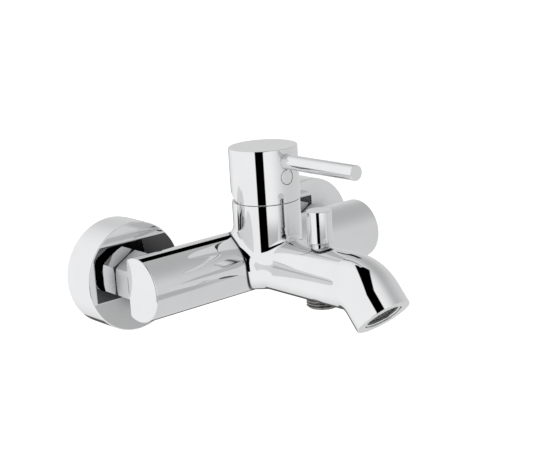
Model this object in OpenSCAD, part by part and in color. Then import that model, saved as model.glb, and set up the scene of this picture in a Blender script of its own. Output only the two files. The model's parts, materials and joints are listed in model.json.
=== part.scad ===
// Wall mounted single-lever bath mixer with a pull-up bath/shower diverter.
// Millimetres. +X runs along the body tube, +Y goes into the wall, +Z is up.
// The origin is on the wall, midway between the two wall inlets.
// Heights named *_h are measured up from the body tube's axis.
// Distances named *_out are measured out from the wall.

/* [Wall connection] */
// Distance between the two wall inlets
inlet_spacing = 150; // [146:1:154]
// Height of the body tube's axis above the wall inlets, given by the eccentric unions
body_rise = 10; // [9:0.5:11]
// Radius of a wall rosette
rosette_r = 34.4; // [33:0.2:36]
// Depth of a wall rosette, from the wall to its front face
rosette_depth = 24.6; // [24:0.2:25]
// Width of a union nut across its flats
nut_flats = 30; // [29.5:0.5:32]

/* [Body] */
// Radius of the D-shaped body tube
tube_r = 20; // [19.5:0.1:20.5]
// Length of the body tube from end face to end face
tube_length = 187; // [184:1:194]
// Distance from the wall to the body tube's axis
tube_out = 52; // [51.5:0.5:52.5]
// Distance from the body tube's axis back to its flat rear face
tube_back = 9; // [8.5:0.5:9.5]
// Distance from the wall to the axis of the cartridge column
column_out = 66.5; // [66:0.5:67]
// Radius of the cartridge column
column_r = 21.5; // [21.4:0.1:22]
// Height of the joint between column and lever cap
joint_h = 40.9; // [40.8:0.1:41]

/* [Spout] */
// Radius of the spout
spout_r = 17.6; // [17.4:0.1:18]
// Distance from the wall to the corner of the spout's centre line
spout_corner_out = 151.5; // [150:0.5:156]
// Angle by which the spout's end turns down
spout_turn = 49.5; // [45:0.5:52]
// Radius of the centre line in the bend
spout_bend_r = 22; // [21:0.5:24]
// Length of the centre line from its corner to the outlet
spout_leg = 23; // [22:0.5:26]

/* [Lever] */
// Radius of the lever cap
cap_r = 21.7; // [21.7:0.1:22]
// Height of the lever cap's top
cap_top_h = 74.8; // [74.5:0.1:76]
// Radius of the lever rod
lever_r = 4.65; // [4.5:0.05:5]
// Height of the lever rod's axis
lever_h = 66.7; // [66.5:0.1:67.5]
// Distance from the wall to the lever rod's free end
lever_end_out = 149.2; // [130:0.2:160]
// Radius of the index plug that hides the grub screw
plug_r = 4.6; // [4.4:0.1:4.6]
// Angle by which the lever lifts from shut to full flow
lift_angle = 25; // [23:1:25]

/* [Diverter] */
// Distance from the wall to the diverter's axis
diverter_out = 115; // [114:0.5:116]
// Radius of the diverter knob
knob_r = 7.8; // [7:0.1:9]
// Height of the diverter knob's underside
knob_h = 20.4; // [20.2:0.1:21]
// Length of the diverter knob
knob_length = 19.6; // [18:0.2:22]
// Distance that the diverter knob pulls up
diverter_travel = 9; // [8:0.5:9]
// Height of the shower outlet's lower end
shower_end_h = -22; // [-24:0.5:-22]

/* [Hidden] */
$fn = 96;
joint_gap = 0.3;        // free gap between pieces that move against each other
fit_gap = 0.05;         // radial gap of a close fit
pass = 1;               // how far a cutter runs past a surface
half_inch_r = 10.48;    // outside radius of a G1/2 thread
three_quarter_r = 13.2; // outside radius of a G3/4 thread

// Body
body_wall = 3;
column_top_h = joint_h - joint_gap;
column_foot_r = 9;
column_foot_h = 14;
cavity_start = 24;
cavity_r = tube_r - body_wall - 0.5;
inlet_boss_r = 12;
inlet_boss_out = 38.3;
inlet_bore_r = 9.85;

// Spout
corner_cut = spout_bend_r * tan(spout_turn / 2);
bend_start_out = spout_corner_out - corner_cut;
leg_straight = spout_leg - corner_cut;
bend_lap = 0.5;         // how far the straight stretches run into the bend
bend_step = 0.05;       // how much fuller the bend is than the straight stretches
spout_bore_r = 12.05;
outlet_out = spout_corner_out + spout_leg * cos(spout_turn);
outlet_h = -spout_leg * sin(spout_turn);

// Cartridge, heights from the bottom up
floor_h = 15;
base_h = 15.2;
disc_h = 21;
disc_t = 3;
slide_disc_h = disc_h + disc_t + fit_gap;
driver_h = slide_disc_h + disc_t;
driver_plate_t = 4;
carrier_h = 33;
shoulder_under_h = 36.8;
shoulder_h = 38.8;
carrier_top_h = 49;
housing_top_h = 51;
pivot_h = 46;
ball_h = 35.5;
housing_r = 17.5;
housing_bore_r = 15.8;
collar_r = 13.5;
collar_bore_r = 12.3;
nut_thread_r = 19;
nut_h = 34;
nut_top_h = 43.5;
pin_r = 1.5;
stem_side = 7.6;
slot_width = 8.4;
slot_length = 22;
dome_r = 18.7;
dome_t = 1;
dome_low_h = 41;
dome_top_h = 52.5;

// Ports through the ceramic discs, from the column's axis
inlet_port = [5.5, -5];
inlet_port_r = 2.8;
outlet_port = [0, 5.5];
outlet_port_r = 3.6;
seal_width = 1.5;
seal_depth = 1.4;
slide_disc_r = 11.5;
slide_disc_y = 0.5;
slide_pocket_r = 5.6;
slide_pocket_y = 3.6;

// Lever cap
cap_roof_h = 61.4;
cap_cavity_r = 19;
cap_edge = 0.5;
socket_boss_r = 8;
socket_boss_h = 54;
socket_top_h = 60.8;
plug_h = 57.1;
plug_t = 2;
screw_pier_r = 4.2;
grub_r = 2.5;
lever_seat = 3;
lever_spigot_r = 3;
lever_spigot = 12;

// Diverter and shower outlet
rod_r = 2;
bonnet_r = 5.6;
bonnet_low_h = 13;
chamber_r = 8.5;
chamber_top_h = 5;
upper_seat_h = 7;
upper_seat_r = 5.2;
lower_seat_h = -8.5;
piston_t = 4.5;
piston_r = 7.5;
piston_seal_t = 1.2;
nipple_thread_r = 9;
nipple_neck_r = 9.6;
nipple_bore_r = 7.5;
nipple_shoulder_h = -spout_r - 0.3;
valve_top_h = -12.2;
valve_low_h = -20.5;
poppet_h = -14.2;
poppet_t = 1.4;
poppet_r = 4.2;

// Aerator, depths from the outlet's face
aerator_recess = 0.8;
aerator_length = 7;

// ---- Frames -------------------------------------------------------------

// Origin on the body tube's axis, midway along it
module at_tube() {
    translate([0, -tube_out, body_rise]) children();
}

// Origin on the column's axis, at the height of the body tube's axis
module at_column() {
    translate([0, -column_out, body_rise]) children();
}

// Origin on the diverter's axis, at the height of the body tube's axis
module at_diverter() {
    translate([0, -diverter_out, body_rise]) children();
}

// Origin in the middle of the outlet's face, +Z running up into the spout
module at_outlet() {
    translate([0, -outlet_out, body_rise + outlet_h]) rotate([spout_turn - 90, 0, 0]) children();
}

// Origin on the wall behind one end of the body tube, +Z running out from the wall
module at_inlet(side, height) {
    translate([side * inlet_spacing / 2, 0, height]) rotate([90, 0, 0]) children();
}

// ---- Shapes that repeat ---------------------------------------------------

// Plain cylinder between two heights
module rod(r, low, high) {
    translate([0, 0, low]) cylinder(r = r, h = high - low);
}

// Ring between two heights
module ring(r_out, r_in, low, high) {
    difference() {
        rod(r_out, low, high);
        rod(r_in, low - pass, high + pass);
    }
}

// Cylinder with a 45 degree edge at its upper end
module edged_rod(r, low, high, edge) {
    rod(r, low, high - edge);
    translate([0, 0, high - edge]) cylinder(r1 = r, r2 = r - edge, h = edge);
}

// Toroidal seal lying flat at a height
module o_ring(r_mid, r_wire, height) {
    translate([0, 0, height]) rotate_extrude() translate([r_mid, 0]) circle(r = r_wire, $fn = 32);
}

// Points of one ring of a coil's wire, where t runs from 0 to 1 along the wire
function coil_ring(r, wire, low, high, turns, t, sides) = [
    for (i = [0 : sides - 1])
        let (a = 360 * i / sides, turn = 360 * turns * t, out = r + wire * cos(a))
        [out * cos(turn), out * sin(turn), low + wire + (high - low - 2 * wire) * t + wire * sin(a)]
];

// Compression spring between two heights
module coil(r, wire, low, high, turns, steps, sides) {
    count = turns * steps;
    points = [
        for (k = [0 : count]) each coil_ring(r, wire, low, high, turns, k / count, sides)
    ];
    walls = [
        for (k = [0 : count - 1], i = [0 : sides - 1])
            let (a = k * sides + i, b = k * sides + (i + 1) % sides)
            [a, a + sides, b + sides, b]
    ];
    first_end = [for (i = [0 : sides - 1]) i];
    last_end = [for (i = [sides - 1 : -1 : 0]) count * sides + i];
    polyhedron(points = points, faces = concat(walls, [first_end, last_end]), convexity = 10);
}

// ---- Body -----------------------------------------------------------------

// D-shaped bar along X, from x = start to x = end
module d_bar(r, back, start, end) {
    intersection() {
        translate([start, 0, 0]) rotate([0, 90, 0]) cylinder(r = r, h = end - start);
        translate([start - pass, -2 * r, -2 * r]) cube([end - start + 2 * pass, 2 * r + back, 4 * r]);
    }
}

// Round bar that follows the spout's centre line from a distance out to the outlet
module spout_bar(r, start_out, past) {
    translate([0, -start_out, body_rise]) rotate([90, 0, 0])
        cylinder(r = r, h = bend_start_out - start_out + bend_lap);
    translate([0, -bend_start_out, body_rise - spout_bend_r]) rotate([180, 0, 0]) rotate([0, 90, 0])
        rotate_extrude(angle = spout_turn) translate([spout_bend_r, 0]) circle(r = r + bend_step);
    at_outlet() rod(r, -past, leg_straight + bend_lap);
}

// Outside of the casting: tube, column, spout and inlet bosses
module casting_outside() {
    at_tube() d_bar(tube_r, tube_back, -tube_length / 2, tube_length / 2);
    at_column() {
        rod(column_r, 0, column_top_h);
        translate([0, 0, -column_foot_h])
            cylinder(r1 = column_foot_r, r2 = column_r, h = column_foot_h);
    }
    spout_bar(spout_r, tube_out, 0);
    for (side = [-1, 1]) at_inlet(side, body_rise)
        rod(inlet_boss_r, inlet_boss_out, tube_out - tube_back + pass);
}

// Waterways that bring hot and cold water from the tube's ends up to the cartridge
module inlet_waterways() {
    channel_h = 8;
    channel_r = 3.5;
    channel_length = 25;
    channel_turn = 33.4;
    for (side = [-1, 1]) {
        at_tube() mirror([side < 0 ? 1 : 0, 0, 0])
            d_bar(cavity_r, tube_back - body_wall, cavity_start, tube_length / 2 - body_wall);
        at_inlet(side, body_rise) rod(inlet_bore_r, inlet_boss_out - pass, tube_out - 2);
        at_column() translate([side * inlet_port.x, inlet_port.y, 0]) {
            rod(inlet_port_r, channel_h, floor_h + pass);
            translate([0, 0, channel_h]) rotate([0, 0, side > 0 ? channel_turn : 180 - channel_turn])
                rotate([0, 90, 0]) cylinder(r = channel_r, h = channel_length);
        }
    }
}

// Waterway from the cartridge to the outlet, with the diverter's chamber and seats
module spout_waterways() {
    mixed_h = -6;
    mixed_r = 5;
    rear_channel_out = 78;
    rear_channel_end = 103;
    chamber_port_r = 4.5;
    chamber_port_h = -1.5;
    front_channel_out = 127;
    passage_width = 12;
    passage_top_h = bonnet_low_h;
    at_column() translate([0, outlet_port.y, 0]) rod(outlet_port_r, mixed_h, floor_h + pass);
    translate([0, -column_out + outlet_port.y, body_rise + mixed_h]) rotate([90, 0, 0])
        cylinder(r = mixed_r, h = rear_channel_out - column_out + outlet_port.y + pass);
    translate([0, -rear_channel_out, body_rise]) rotate([90, 0, 0])
        cylinder(r = spout_bore_r, h = rear_channel_end - rear_channel_out);
    translate([0, -rear_channel_end + pass, body_rise + chamber_port_h]) rotate([90, 0, 0])
        cylinder(r = chamber_port_r, h = diverter_out - rear_channel_end);
    spout_bar(spout_bore_r, front_channel_out, pass);
    at_diverter() {
        rod(chamber_r, lower_seat_h, chamber_top_h);
        rod(nipple_thread_r + fit_gap, -spout_r - pass, lower_seat_h);
        rod(nipple_neck_r + fit_gap, -spout_r - pass, valve_top_h);
        rod(upper_seat_r, chamber_top_h - pass, upper_seat_h + pass);
        rod(chamber_r - 1, upper_seat_h, passage_top_h);
        rod(bonnet_r + fit_gap, passage_top_h - pass, spout_r + pass);
        translate([-passage_width / 2, diverter_out - front_channel_out - pass, upper_seat_h])
            cube([passage_width, front_channel_out - diverter_out + pass, passage_top_h - upper_seat_h]);
    }
}

// Bore that takes the cartridge, its nut's thread and its locating pins
module cartridge_bore() {
    pin_hole_depth = 2.5;
    at_column() {
        rod(housing_r + 0.25, floor_h, column_top_h + pass);
        rod(nut_thread_r + fit_gap, nut_h - fit_gap, column_top_h + pass);
        for (side = [-1, 1]) translate([side * 13, 0, 0])
            rod(pin_r + 0.1, floor_h - pin_hole_depth, floor_h + pass);
    }
}

module body_casting() {
    color("gainsboro") difference() {
        casting_outside();
        inlet_waterways();
        spout_waterways();
        cartridge_bore();
    }
}

// ---- Cartridge --------------------------------------------------------------

// The three ports through a disc or base, widened by grow
module ports(low, high, grow) {
    for (side = [-1, 1]) translate([side * inlet_port.x, inlet_port.y, 0])
        rod(inlet_port_r + grow, low, high);
    translate([outlet_port.x, outlet_port.y, 0]) rod(outlet_port_r + grow, low, high);
}

module cartridge_base() {
    seat_top_h = base_h + seal_depth;
    color("ivory") at_column() {
        difference() {
            rod(housing_r - 0.1, base_h, disc_h);
            ports(base_h - pass, disc_h + pass, 0);
            for (side = [-1, 1]) translate([side * inlet_port.x, inlet_port.y, 0])
                rod(inlet_port_r + seal_width, base_h - pass, seat_top_h);
            translate([0, outlet_port.y, 0])
                rod(outlet_port_r + seal_width, base_h - pass, seat_top_h);
        }
        for (side = [-1, 1]) translate([side * 13, 0, 0]) rod(pin_r, floor_h - 2, base_h + pass);
    }
}

module base_seals() {
    color("black") at_column() {
        for (side = [-1, 1]) translate([side * inlet_port.x, inlet_port.y, 0])
            ring(inlet_port_r + seal_width - fit_gap, inlet_port_r, floor_h, base_h + seal_depth);
        translate([0, outlet_port.y, 0])
            ring(outlet_port_r + seal_width - fit_gap, outlet_port_r, floor_h, base_h + seal_depth);
    }
}

module fixed_disc() {
    color("white") at_column() difference() {
        rod(housing_bore_r - 0.3, disc_h, disc_h + disc_t);
        ports(disc_h - pass, disc_h + disc_t + pass, 0);
    }
}

module moving_disc() {
    pocket_depth = 1.5;
    color("white") at_column() difference() {
        translate([0, slide_disc_y, 0]) rod(slide_disc_r, slide_disc_h, driver_h);
        translate([0, slide_pocket_y, 0])
            rod(slide_pocket_r, slide_disc_h - pass, slide_disc_h + pocket_depth);
    }
}

// Plate on the moving disc with an upright socket for the stem's ball
module disc_driver() {
    plate_width = 18.6;
    post_width = 7.6;
    post_depth = 10.4;
    post_top_h = 37;
    socket_r = 3.25;
    socket_low_h = 31.5;
    color("ivory") at_column() difference() {
        union() {
            intersection() {
                translate([0, slide_disc_y, 0])
                    rod(slide_disc_r - 0.2, driver_h, driver_h + driver_plate_t);
                translate([-plate_width / 2, -20, driver_h - pass])
                    cube([plate_width, 40, driver_plate_t + 2 * pass]);
            }
            translate([-post_width / 2, -post_depth / 2, driver_h])
                cube([post_width, post_depth, post_top_h - driver_h]);
        }
        rod(socket_r, socket_low_h, post_top_h + pass);
    }
}

module cartridge_housing() {
    color("ivory") at_column() {
        ring(housing_r, housing_bore_r, disc_h, shoulder_under_h);
        ring(housing_r, collar_bore_r, shoulder_under_h, shoulder_h);
        ring(collar_r, collar_bore_r, shoulder_h, housing_top_h);
    }
}

// Rotor that carries the stem's pivot and guides the moving disc
module disc_carrier() {
    rib_in = 9.6;
    rib_width = 1.6;
    rib_length = 20;
    rib_low_h = 27.5;
    flange_top_h = shoulder_under_h - joint_gap;
    color("dimgray") at_column() difference() {
        union() {
            rod(housing_bore_r - 0.5, carrier_h, flange_top_h);
            rod(collar_bore_r - joint_gap, flange_top_h, carrier_top_h);
            for (side = [-1, 1])
                translate([side > 0 ? rib_in : -rib_in - rib_width, -rib_length / 2, rib_low_h])
                    cube([rib_width, rib_length, carrier_h - rib_low_h + pass]);
        }
        translate([-slot_width / 2, -slot_length / 2, carrier_h - pass])
            cube([slot_width, slot_length, carrier_top_h - carrier_h + 2 * pass]);
        translate([-housing_r, 0, pivot_h]) rotate([0, 90, 0])
            cylinder(r = pin_r + 0.02, h = 2 * housing_r);
    }
}

module pivot_pin() {
    pin_length = 22;
    color("silver") at_column() translate([-pin_length / 2, 0, pivot_h]) rotate([0, 90, 0])
        cylinder(r = pin_r, h = pin_length);
}

// Square stem with a pivot bore, a lower arm and a ball that drives the disc
module cartridge_stem() {
    stem_top_h = 60.5;
    arm_depth = 6;
    arm_low_h = 40;
    neck_r = 2;
    ball_r = 3;
    square_h = 48;
    color("silver") at_column() difference() {
        union() {
            translate([-stem_side / 2, -stem_side / 2, square_h])
                cube([stem_side, stem_side, stem_top_h - square_h]);
            translate([-stem_side / 2, -arm_depth / 2, arm_low_h])
                cube([stem_side, arm_depth, square_h - arm_low_h]);
            rod(neck_r, ball_h, arm_low_h);
            translate([0, 0, ball_h]) sphere(r = ball_r);
        }
        translate([-stem_side, 0, pivot_h]) rotate([0, 90, 0])
            cylinder(r = pin_r + fit_gap, h = 2 * stem_side);
    }
}

// Threaded ring that clamps the cartridge into the column
module cartridge_nut() {
    color("goldenrod") at_column() {
        ring(nut_thread_r, housing_r + 0.15, nut_h, shoulder_h);
        ring(nut_thread_r, collar_r + 0.2, shoulder_h, column_top_h);
        ring(16.9, collar_r + 0.2, column_top_h, nut_top_h);
    }
}

// Round cover that stays with the column and closes the gap under the tilted cap
module cartridge_dome() {
    color("silver") at_column() intersection() {
        difference() {
            translate([0, 0, pivot_h]) sphere(r = dome_r);
            translate([0, 0, pivot_h]) sphere(r = dome_r - dome_t);
        }
        rod(dome_r + pass, dome_low_h, dome_top_h);
    }
}

// ---- Lever ------------------------------------------------------------------

// Wedge that clears the column when the cap tilts back
module cap_relief() {
    depth = 60;
    translate([-depth / 2, 0, joint_h]) rotate([lift_angle, 0, 0])
        translate([0, 0, -depth]) cube([depth, depth, depth]);
}

module lever_cap() {
    color("gainsboro") at_column() difference() {
        edged_rod(cap_r, joint_h, cap_top_h, cap_edge);
        difference() {
            rod(cap_cavity_r, joint_h - pass, cap_roof_h);
            rod(socket_boss_r, socket_boss_h, cap_roof_h + pass);
            translate([0, 0, plug_h]) rotate([90, 0, 0]) cylinder(r = screw_pier_r, h = cap_r);
        }
        cap_relief();
        translate([-stem_side / 2 - fit_gap, -stem_side / 2 - fit_gap, socket_boss_h - pass])
            cube([stem_side + 2 * fit_gap, stem_side + 2 * fit_gap, socket_top_h - socket_boss_h + pass]);
        translate([0, 0, plug_h]) rotate([90, 0, 0]) {
            cylinder(r = grub_r + fit_gap, h = cap_r + pass);
            rod(plug_r + fit_gap, cap_r - plug_t - fit_gap, cap_r + pass);
        }
        translate([0, 0, lever_h]) rotate([90, 0, 0]) {
            rod(lever_r + fit_gap, cap_r - lever_seat, cap_r + pass);
            rod(lever_spigot_r + fit_gap, cap_r - lever_seat - lever_spigot, cap_r + pass);
        }
    }
}

module lever_rod() {
    color("gainsboro") at_column() translate([0, 0, lever_h]) rotate([90, 0, 0]) {
        edged_rod(lever_r, cap_r - lever_seat, lever_end_out - column_out, 0.4);
        rod(lever_spigot_r, cap_r - lever_seat - lever_spigot + 0.5, cap_r - lever_seat + fit_gap);
    }
}

module index_plug() {
    color("silver") at_column() intersection() {
        translate([0, 0, plug_h]) rotate([90, 0, 0]) rod(plug_r, cap_r - plug_t, cap_r + pass);
        rod(cap_r, plug_h - 2 * plug_r, plug_h + 2 * plug_r);
    }
}

module grub_screw() {
    key_flats = 2.5;
    key_depth = 3;
    front = cap_r - plug_t - 0.5;
    color("dimgray") at_column() translate([0, 0, plug_h]) rotate([90, 0, 0]) difference() {
        rod(grub_r, stem_side / 2, front);
        translate([0, 0, front - key_depth])
            cylinder(r = key_flats / sqrt(3), h = key_depth + pass, $fn = 6);
    }
}

// ---- Diverter -----------------------------------------------------------------

module diverter_bonnet() {
    color("gainsboro") at_diverter() difference() {
        rod(bonnet_r, bonnet_low_h, knob_h - joint_gap);
        rod(rod_r + 0.1, bonnet_low_h - pass, knob_h + pass);
        rod(3.6, 15, 17);
    }
}

module bonnet_o_ring() {
    color("black") at_diverter() o_ring(2.85, 0.7, 16);
}

module diverter_knob() {
    thread_depth = 11;
    color("gainsboro") at_diverter() difference() {
        edged_rod(knob_r, knob_h, knob_h + knob_length, 0.5);
        rod(rod_r, knob_h - pass, knob_h + thread_depth);
    }
}

module diverter_rod() {
    head_r = 3.4;
    color("silver") at_diverter() {
        rod(rod_r, lower_seat_h + 0.6, knob_h + 10.8);
        rod(head_r, lower_seat_h + 0.6, lower_seat_h + piston_seal_t - fit_gap);
    }
}

// Double-faced piston that closes the shower seat at rest and the spout seat when lifted
module diverter_piston() {
    color("ivory") at_diverter()
        ring(piston_r, rod_r + fit_gap, lower_seat_h + piston_seal_t,
             lower_seat_h + piston_t - piston_seal_t);
}

module piston_seals() {
    color("black") at_diverter() {
        ring(piston_r - 0.2, 3.45, lower_seat_h, lower_seat_h + piston_seal_t);
        ring(piston_r - 0.2, rod_r + fit_gap, lower_seat_h + piston_t - piston_seal_t,
             lower_seat_h + piston_t);
    }
}

module diverter_spring() {
    color("darkgray") at_diverter()
        coil(3.2, 0.45, lower_seat_h + piston_t, bonnet_low_h, 7, 14, 8);
}

// Threaded outlet for the shower hose, screwed up into the spout
module shower_nipple() {
    chamfer = 1.2;
    waterway_r = 5;
    seal_groove = 1.45;
    color("silver") at_diverter() difference() {
        union() {
            rod(nipple_thread_r, valve_top_h, lower_seat_h);
            rod(nipple_neck_r, nipple_shoulder_h, valve_top_h);
            rod(half_inch_r, shower_end_h + chamfer, nipple_shoulder_h);
            translate([0, 0, shower_end_h])
                cylinder(r1 = half_inch_r - chamfer, r2 = half_inch_r, h = chamfer);
        }
        rod(nipple_bore_r, shower_end_h - pass, valve_top_h);
        rod(waterway_r, valve_top_h - pass, lower_seat_h + pass);
        ring(nipple_thread_r + pass, nipple_thread_r - seal_groove, -11.6, -10.2);
    }
}

module nipple_o_ring() {
    color("black") at_diverter() o_ring(nipple_thread_r - 0.7, 0.65, -10.9);
}

module check_valve_housing() {
    hub_t = 1.2;
    arm_t = 1;
    color("royalblue") at_diverter() {
        ring(nipple_bore_r - fit_gap, 3.5, poppet_h + 0.1, valve_top_h);
        ring(nipple_bore_r - fit_gap, 5.6, valve_low_h, poppet_h + 0.1);
        ring(1.9, 1.15, valve_low_h, valve_low_h + hub_t);
        for (turn = [0, 120, 240]) rotate([0, 0, turn])
            translate([1.5, -arm_t / 2, valve_low_h + 0.1]) cube([4.6, arm_t, arm_t]);
    }
}

module check_poppet() {
    color("white") at_diverter() {
        rod(poppet_r, poppet_h - poppet_t, poppet_h);
        rod(1.05, valve_low_h + 0.6, poppet_h - poppet_t);
    }
}

module check_valve_spring() {
    color("darkgray") at_diverter()
        coil(2.5, 0.25, valve_low_h + 1.2, poppet_h - poppet_t, 3, 14, 6);
}

// ---- Aerator ------------------------------------------------------------------

module aerator_housing() {
    color("silver") at_outlet() {
        ring(spout_bore_r - fit_gap, 10.2, aerator_recess, aerator_recess + aerator_length);
        ring(10.3, 9.4, aerator_recess + aerator_length - 1.2, aerator_recess + aerator_length);
    }
}

// Flow-straightening insert: a rim with a grid of webs
module aerator_insert() {
    web = 0.8;
    pitch = 3;
    low = aerator_recess + 1;
    high = aerator_recess + aerator_length - 1.4;
    color("whitesmoke") at_outlet() {
        ring(10.15, 9.2, low, high);
        intersection() {
            rod(9.6, low + 0.5, high - 0.5);
            union() {
                for (i = [-3 : 3]) {
                    translate([i * pitch - web / 2, -12, low]) cube([web, 24, high - low]);
                    translate([-12, i * pitch - web / 2, low]) cube([24, web, high - low]);
                }
            }
        }
    }
}

module aerator_gasket() {
    color("black") at_outlet()
        ring(spout_bore_r - 0.25, 8.5, aerator_recess + aerator_length, aerator_recess + aerator_length + 1.6);
}

// ---- Wall connections -----------------------------------------------------------

// Deep round cover between the wall and the union nut
module rosette(side) {
    wall = 1;
    color("gainsboro") at_inlet(side, body_rise) difference() {
        edged_rod(rosette_r, 0, rosette_depth, 0.3);
        rod(rosette_r - wall, -pass, rosette_depth - wall);
        rod(three_quarter_r + 0.4, 0, rosette_depth + pass);
    }
}

// Foam ring between the rosette and the wall
module rosette_seal(side) {
    color("darkslategray") at_inlet(side, body_rise)
        ring(rosette_r - 1.1, rosette_r - 4, 0, 2.5);
}

// Eccentric coupling: G1/2 in the wall, G3/4 for the union nut
module s_union(side) {
    wall_depth = 14;
    flange_out = 2;
    hex_out = 12;
    face_out = 31.5;
    chamfer = 1;
    color("goldenrod") difference() {
        union() {
            at_inlet(side, 0) {
                rod(half_inch_r, -wall_depth + chamfer, flange_out + fit_gap);
                translate([0, 0, -wall_depth])
                    cylinder(r1 = half_inch_r - chamfer, r2 = half_inch_r, h = chamfer);
            }
            at_inlet(side, body_rise / 2) translate([0, 0, flange_out])
                cylinder(r = 20, h = hex_out - flange_out, $fn = 8);
            at_inlet(side, body_rise) rod(three_quarter_r, hex_out - fit_gap, face_out);
        }
        at_inlet(side, 0) rod(7, -wall_depth - pass, 8);
        at_inlet(side, body_rise) rod(9, 5, face_out + pass);
    }
}

// Hexagon nut that draws the inlet tail onto the eccentric coupling
module union_nut(side) {
    back_out = 25.2;
    shoulder_out = 35.5;
    front_out = 38;
    nut_r = nut_flats / sqrt(3);
    color("gainsboro") at_inlet(side, body_rise) difference() {
        intersection() {
            translate([0, 0, back_out]) rotate([0, 0, 30])
                cylinder(r = nut_r, h = front_out - back_out, $fn = 6);
            union() {
                rod(nut_r, back_out, front_out - 1.2);
                translate([0, 0, front_out - 1.2])
                    cylinder(r1 = nut_r, r2 = nut_r - 1.6, h = 1.2);
            }
        }
        rod(three_quarter_r + fit_gap, back_out - pass, shoulder_out);
        rod(10.2, shoulder_out - pass, front_out + pass);
    }
}

// Flanged tail that is screwed into the body and carries the union nut
module inlet_tail(side) {
    color("goldenrod") at_inlet(side, body_rise) difference() {
        union() {
            rod(12.6, 33.5, 35.45);
            rod(9.8, 35.45, 49);
        }
        rod(7.5, 33.5 - pass, 49 + pass);
    }
}

// Gasket with a dirt sieve across its opening
module filter_gasket(side) {
    color("black") at_inlet(side, body_rise) {
        ring(12.6, 8.5, 31.5, 33.5);
        intersection() {
            rod(8.7, 32, 32.6);
            union() {
                for (i = [-2 : 2]) {
                    translate([i * 3 - 0.3, -9, 32]) cube([0.6, 18, 0.6]);
                    translate([-9, i * 3 - 0.3, 32]) cube([18, 0.6, 0.6]);
                }
            }
        }
    }
}

module rosette_left() { rosette(-1); }
module rosette_right() { rosette(1); }
module rosette_seal_left() { rosette_seal(-1); }
module rosette_seal_right() { rosette_seal(1); }
module s_union_left() { s_union(-1); }
module s_union_right() { s_union(1); }
module union_nut_left() { union_nut(-1); }
module union_nut_right() { union_nut(1); }
module inlet_tail_left() { inlet_tail(-1); }
module inlet_tail_right() { inlet_tail(1); }
module filter_gasket_left() { filter_gasket(-1); }
module filter_gasket_right() { filter_gasket(1); }

// ---- Nodes ------------------------------------------------------------------------

body_casting();
cartridge_base();
base_seals();
fixed_disc();
moving_disc();
disc_driver();
cartridge_housing();
disc_carrier();
pivot_pin();
cartridge_stem();
cartridge_nut();
cartridge_dome();
lever_cap();
lever_rod();
index_plug();
grub_screw();
diverter_bonnet();
bonnet_o_ring();
diverter_knob();
diverter_rod();
diverter_piston();
piston_seals();
diverter_spring();
shower_nipple();
nipple_o_ring();
check_valve_housing();
check_poppet();
check_valve_spring();
aerator_housing();
aerator_insert();
aerator_gasket();
rosette_left();
rosette_right();
rosette_seal_left();
rosette_seal_right();
s_union_left();
s_union_right();
union_nut_left();
union_nut_right();
inlet_tail_left();
inlet_tail_right();
filter_gasket_left();
filter_gasket_right();
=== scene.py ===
"""Looks of the wall mounted bath mixer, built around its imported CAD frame.

Lengths inside the classes are in millimetres and the finished meshes are in metres.
+X runs along the body tube, +Y goes into the wall and +Z is up. "Out" is the distance
from the wall, and heights named *_h are measured up from the body tube's axis.
"""

import json
import logging
from collections.abc import Callable, Sequence
from dataclasses import dataclass, field
from enum import Enum

import bpy
import numpy as np
from mathutils import Matrix, Vector


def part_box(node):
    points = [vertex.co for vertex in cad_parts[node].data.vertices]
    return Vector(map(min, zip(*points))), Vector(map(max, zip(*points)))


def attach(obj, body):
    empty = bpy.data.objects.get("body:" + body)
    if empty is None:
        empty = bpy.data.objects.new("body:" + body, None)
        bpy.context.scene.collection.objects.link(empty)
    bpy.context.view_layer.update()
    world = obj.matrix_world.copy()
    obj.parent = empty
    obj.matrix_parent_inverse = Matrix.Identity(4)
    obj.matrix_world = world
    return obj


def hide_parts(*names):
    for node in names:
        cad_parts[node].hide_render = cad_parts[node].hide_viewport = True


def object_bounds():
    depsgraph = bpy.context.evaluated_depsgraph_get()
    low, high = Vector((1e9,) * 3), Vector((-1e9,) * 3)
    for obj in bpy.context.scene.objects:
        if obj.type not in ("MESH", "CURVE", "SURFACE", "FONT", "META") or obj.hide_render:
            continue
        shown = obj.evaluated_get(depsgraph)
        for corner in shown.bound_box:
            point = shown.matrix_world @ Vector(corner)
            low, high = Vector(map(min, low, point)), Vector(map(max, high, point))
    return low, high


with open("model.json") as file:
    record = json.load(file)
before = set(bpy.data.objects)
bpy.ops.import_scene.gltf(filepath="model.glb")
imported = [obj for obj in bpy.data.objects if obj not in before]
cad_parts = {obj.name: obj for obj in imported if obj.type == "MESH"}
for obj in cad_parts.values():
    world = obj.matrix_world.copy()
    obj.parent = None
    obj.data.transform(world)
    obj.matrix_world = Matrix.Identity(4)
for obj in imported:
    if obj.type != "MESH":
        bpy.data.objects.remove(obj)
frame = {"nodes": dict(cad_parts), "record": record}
CAD_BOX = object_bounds()

Array = np.ndarray
LOG = logging.getLogger("bath_mixer")
MM = 0.001
WELD = 1e-4
BOSS_LENGTH = 4.7  # from the tube's flat back to the end of an inlet boss
X_AXIS = np.array((1.0, 0.0, 0.0))
Y_AXIS = np.array((0.0, 1.0, 0.0))
Z_AXIS = np.array((0.0, 0.0, 1.0))


class Body(Enum):
    """CAD bodies that the pieces ride on."""

    MIXER = "mixer_body"
    LEVER = "lever"
    DIVERTER = "diverter"


class Slot(Enum):
    """Material slots of the record."""

    CHROME = "chrome"
    BRASS = "brass"
    NICKEL = "nickel_thread"
    STEEL = "steel"
    RUBBER = "rubber"
    FOAM = "foam"
    CERAMIC = "ceramic"
    WHITE = "white_plastic"
    DARK = "dark_plastic"


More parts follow.
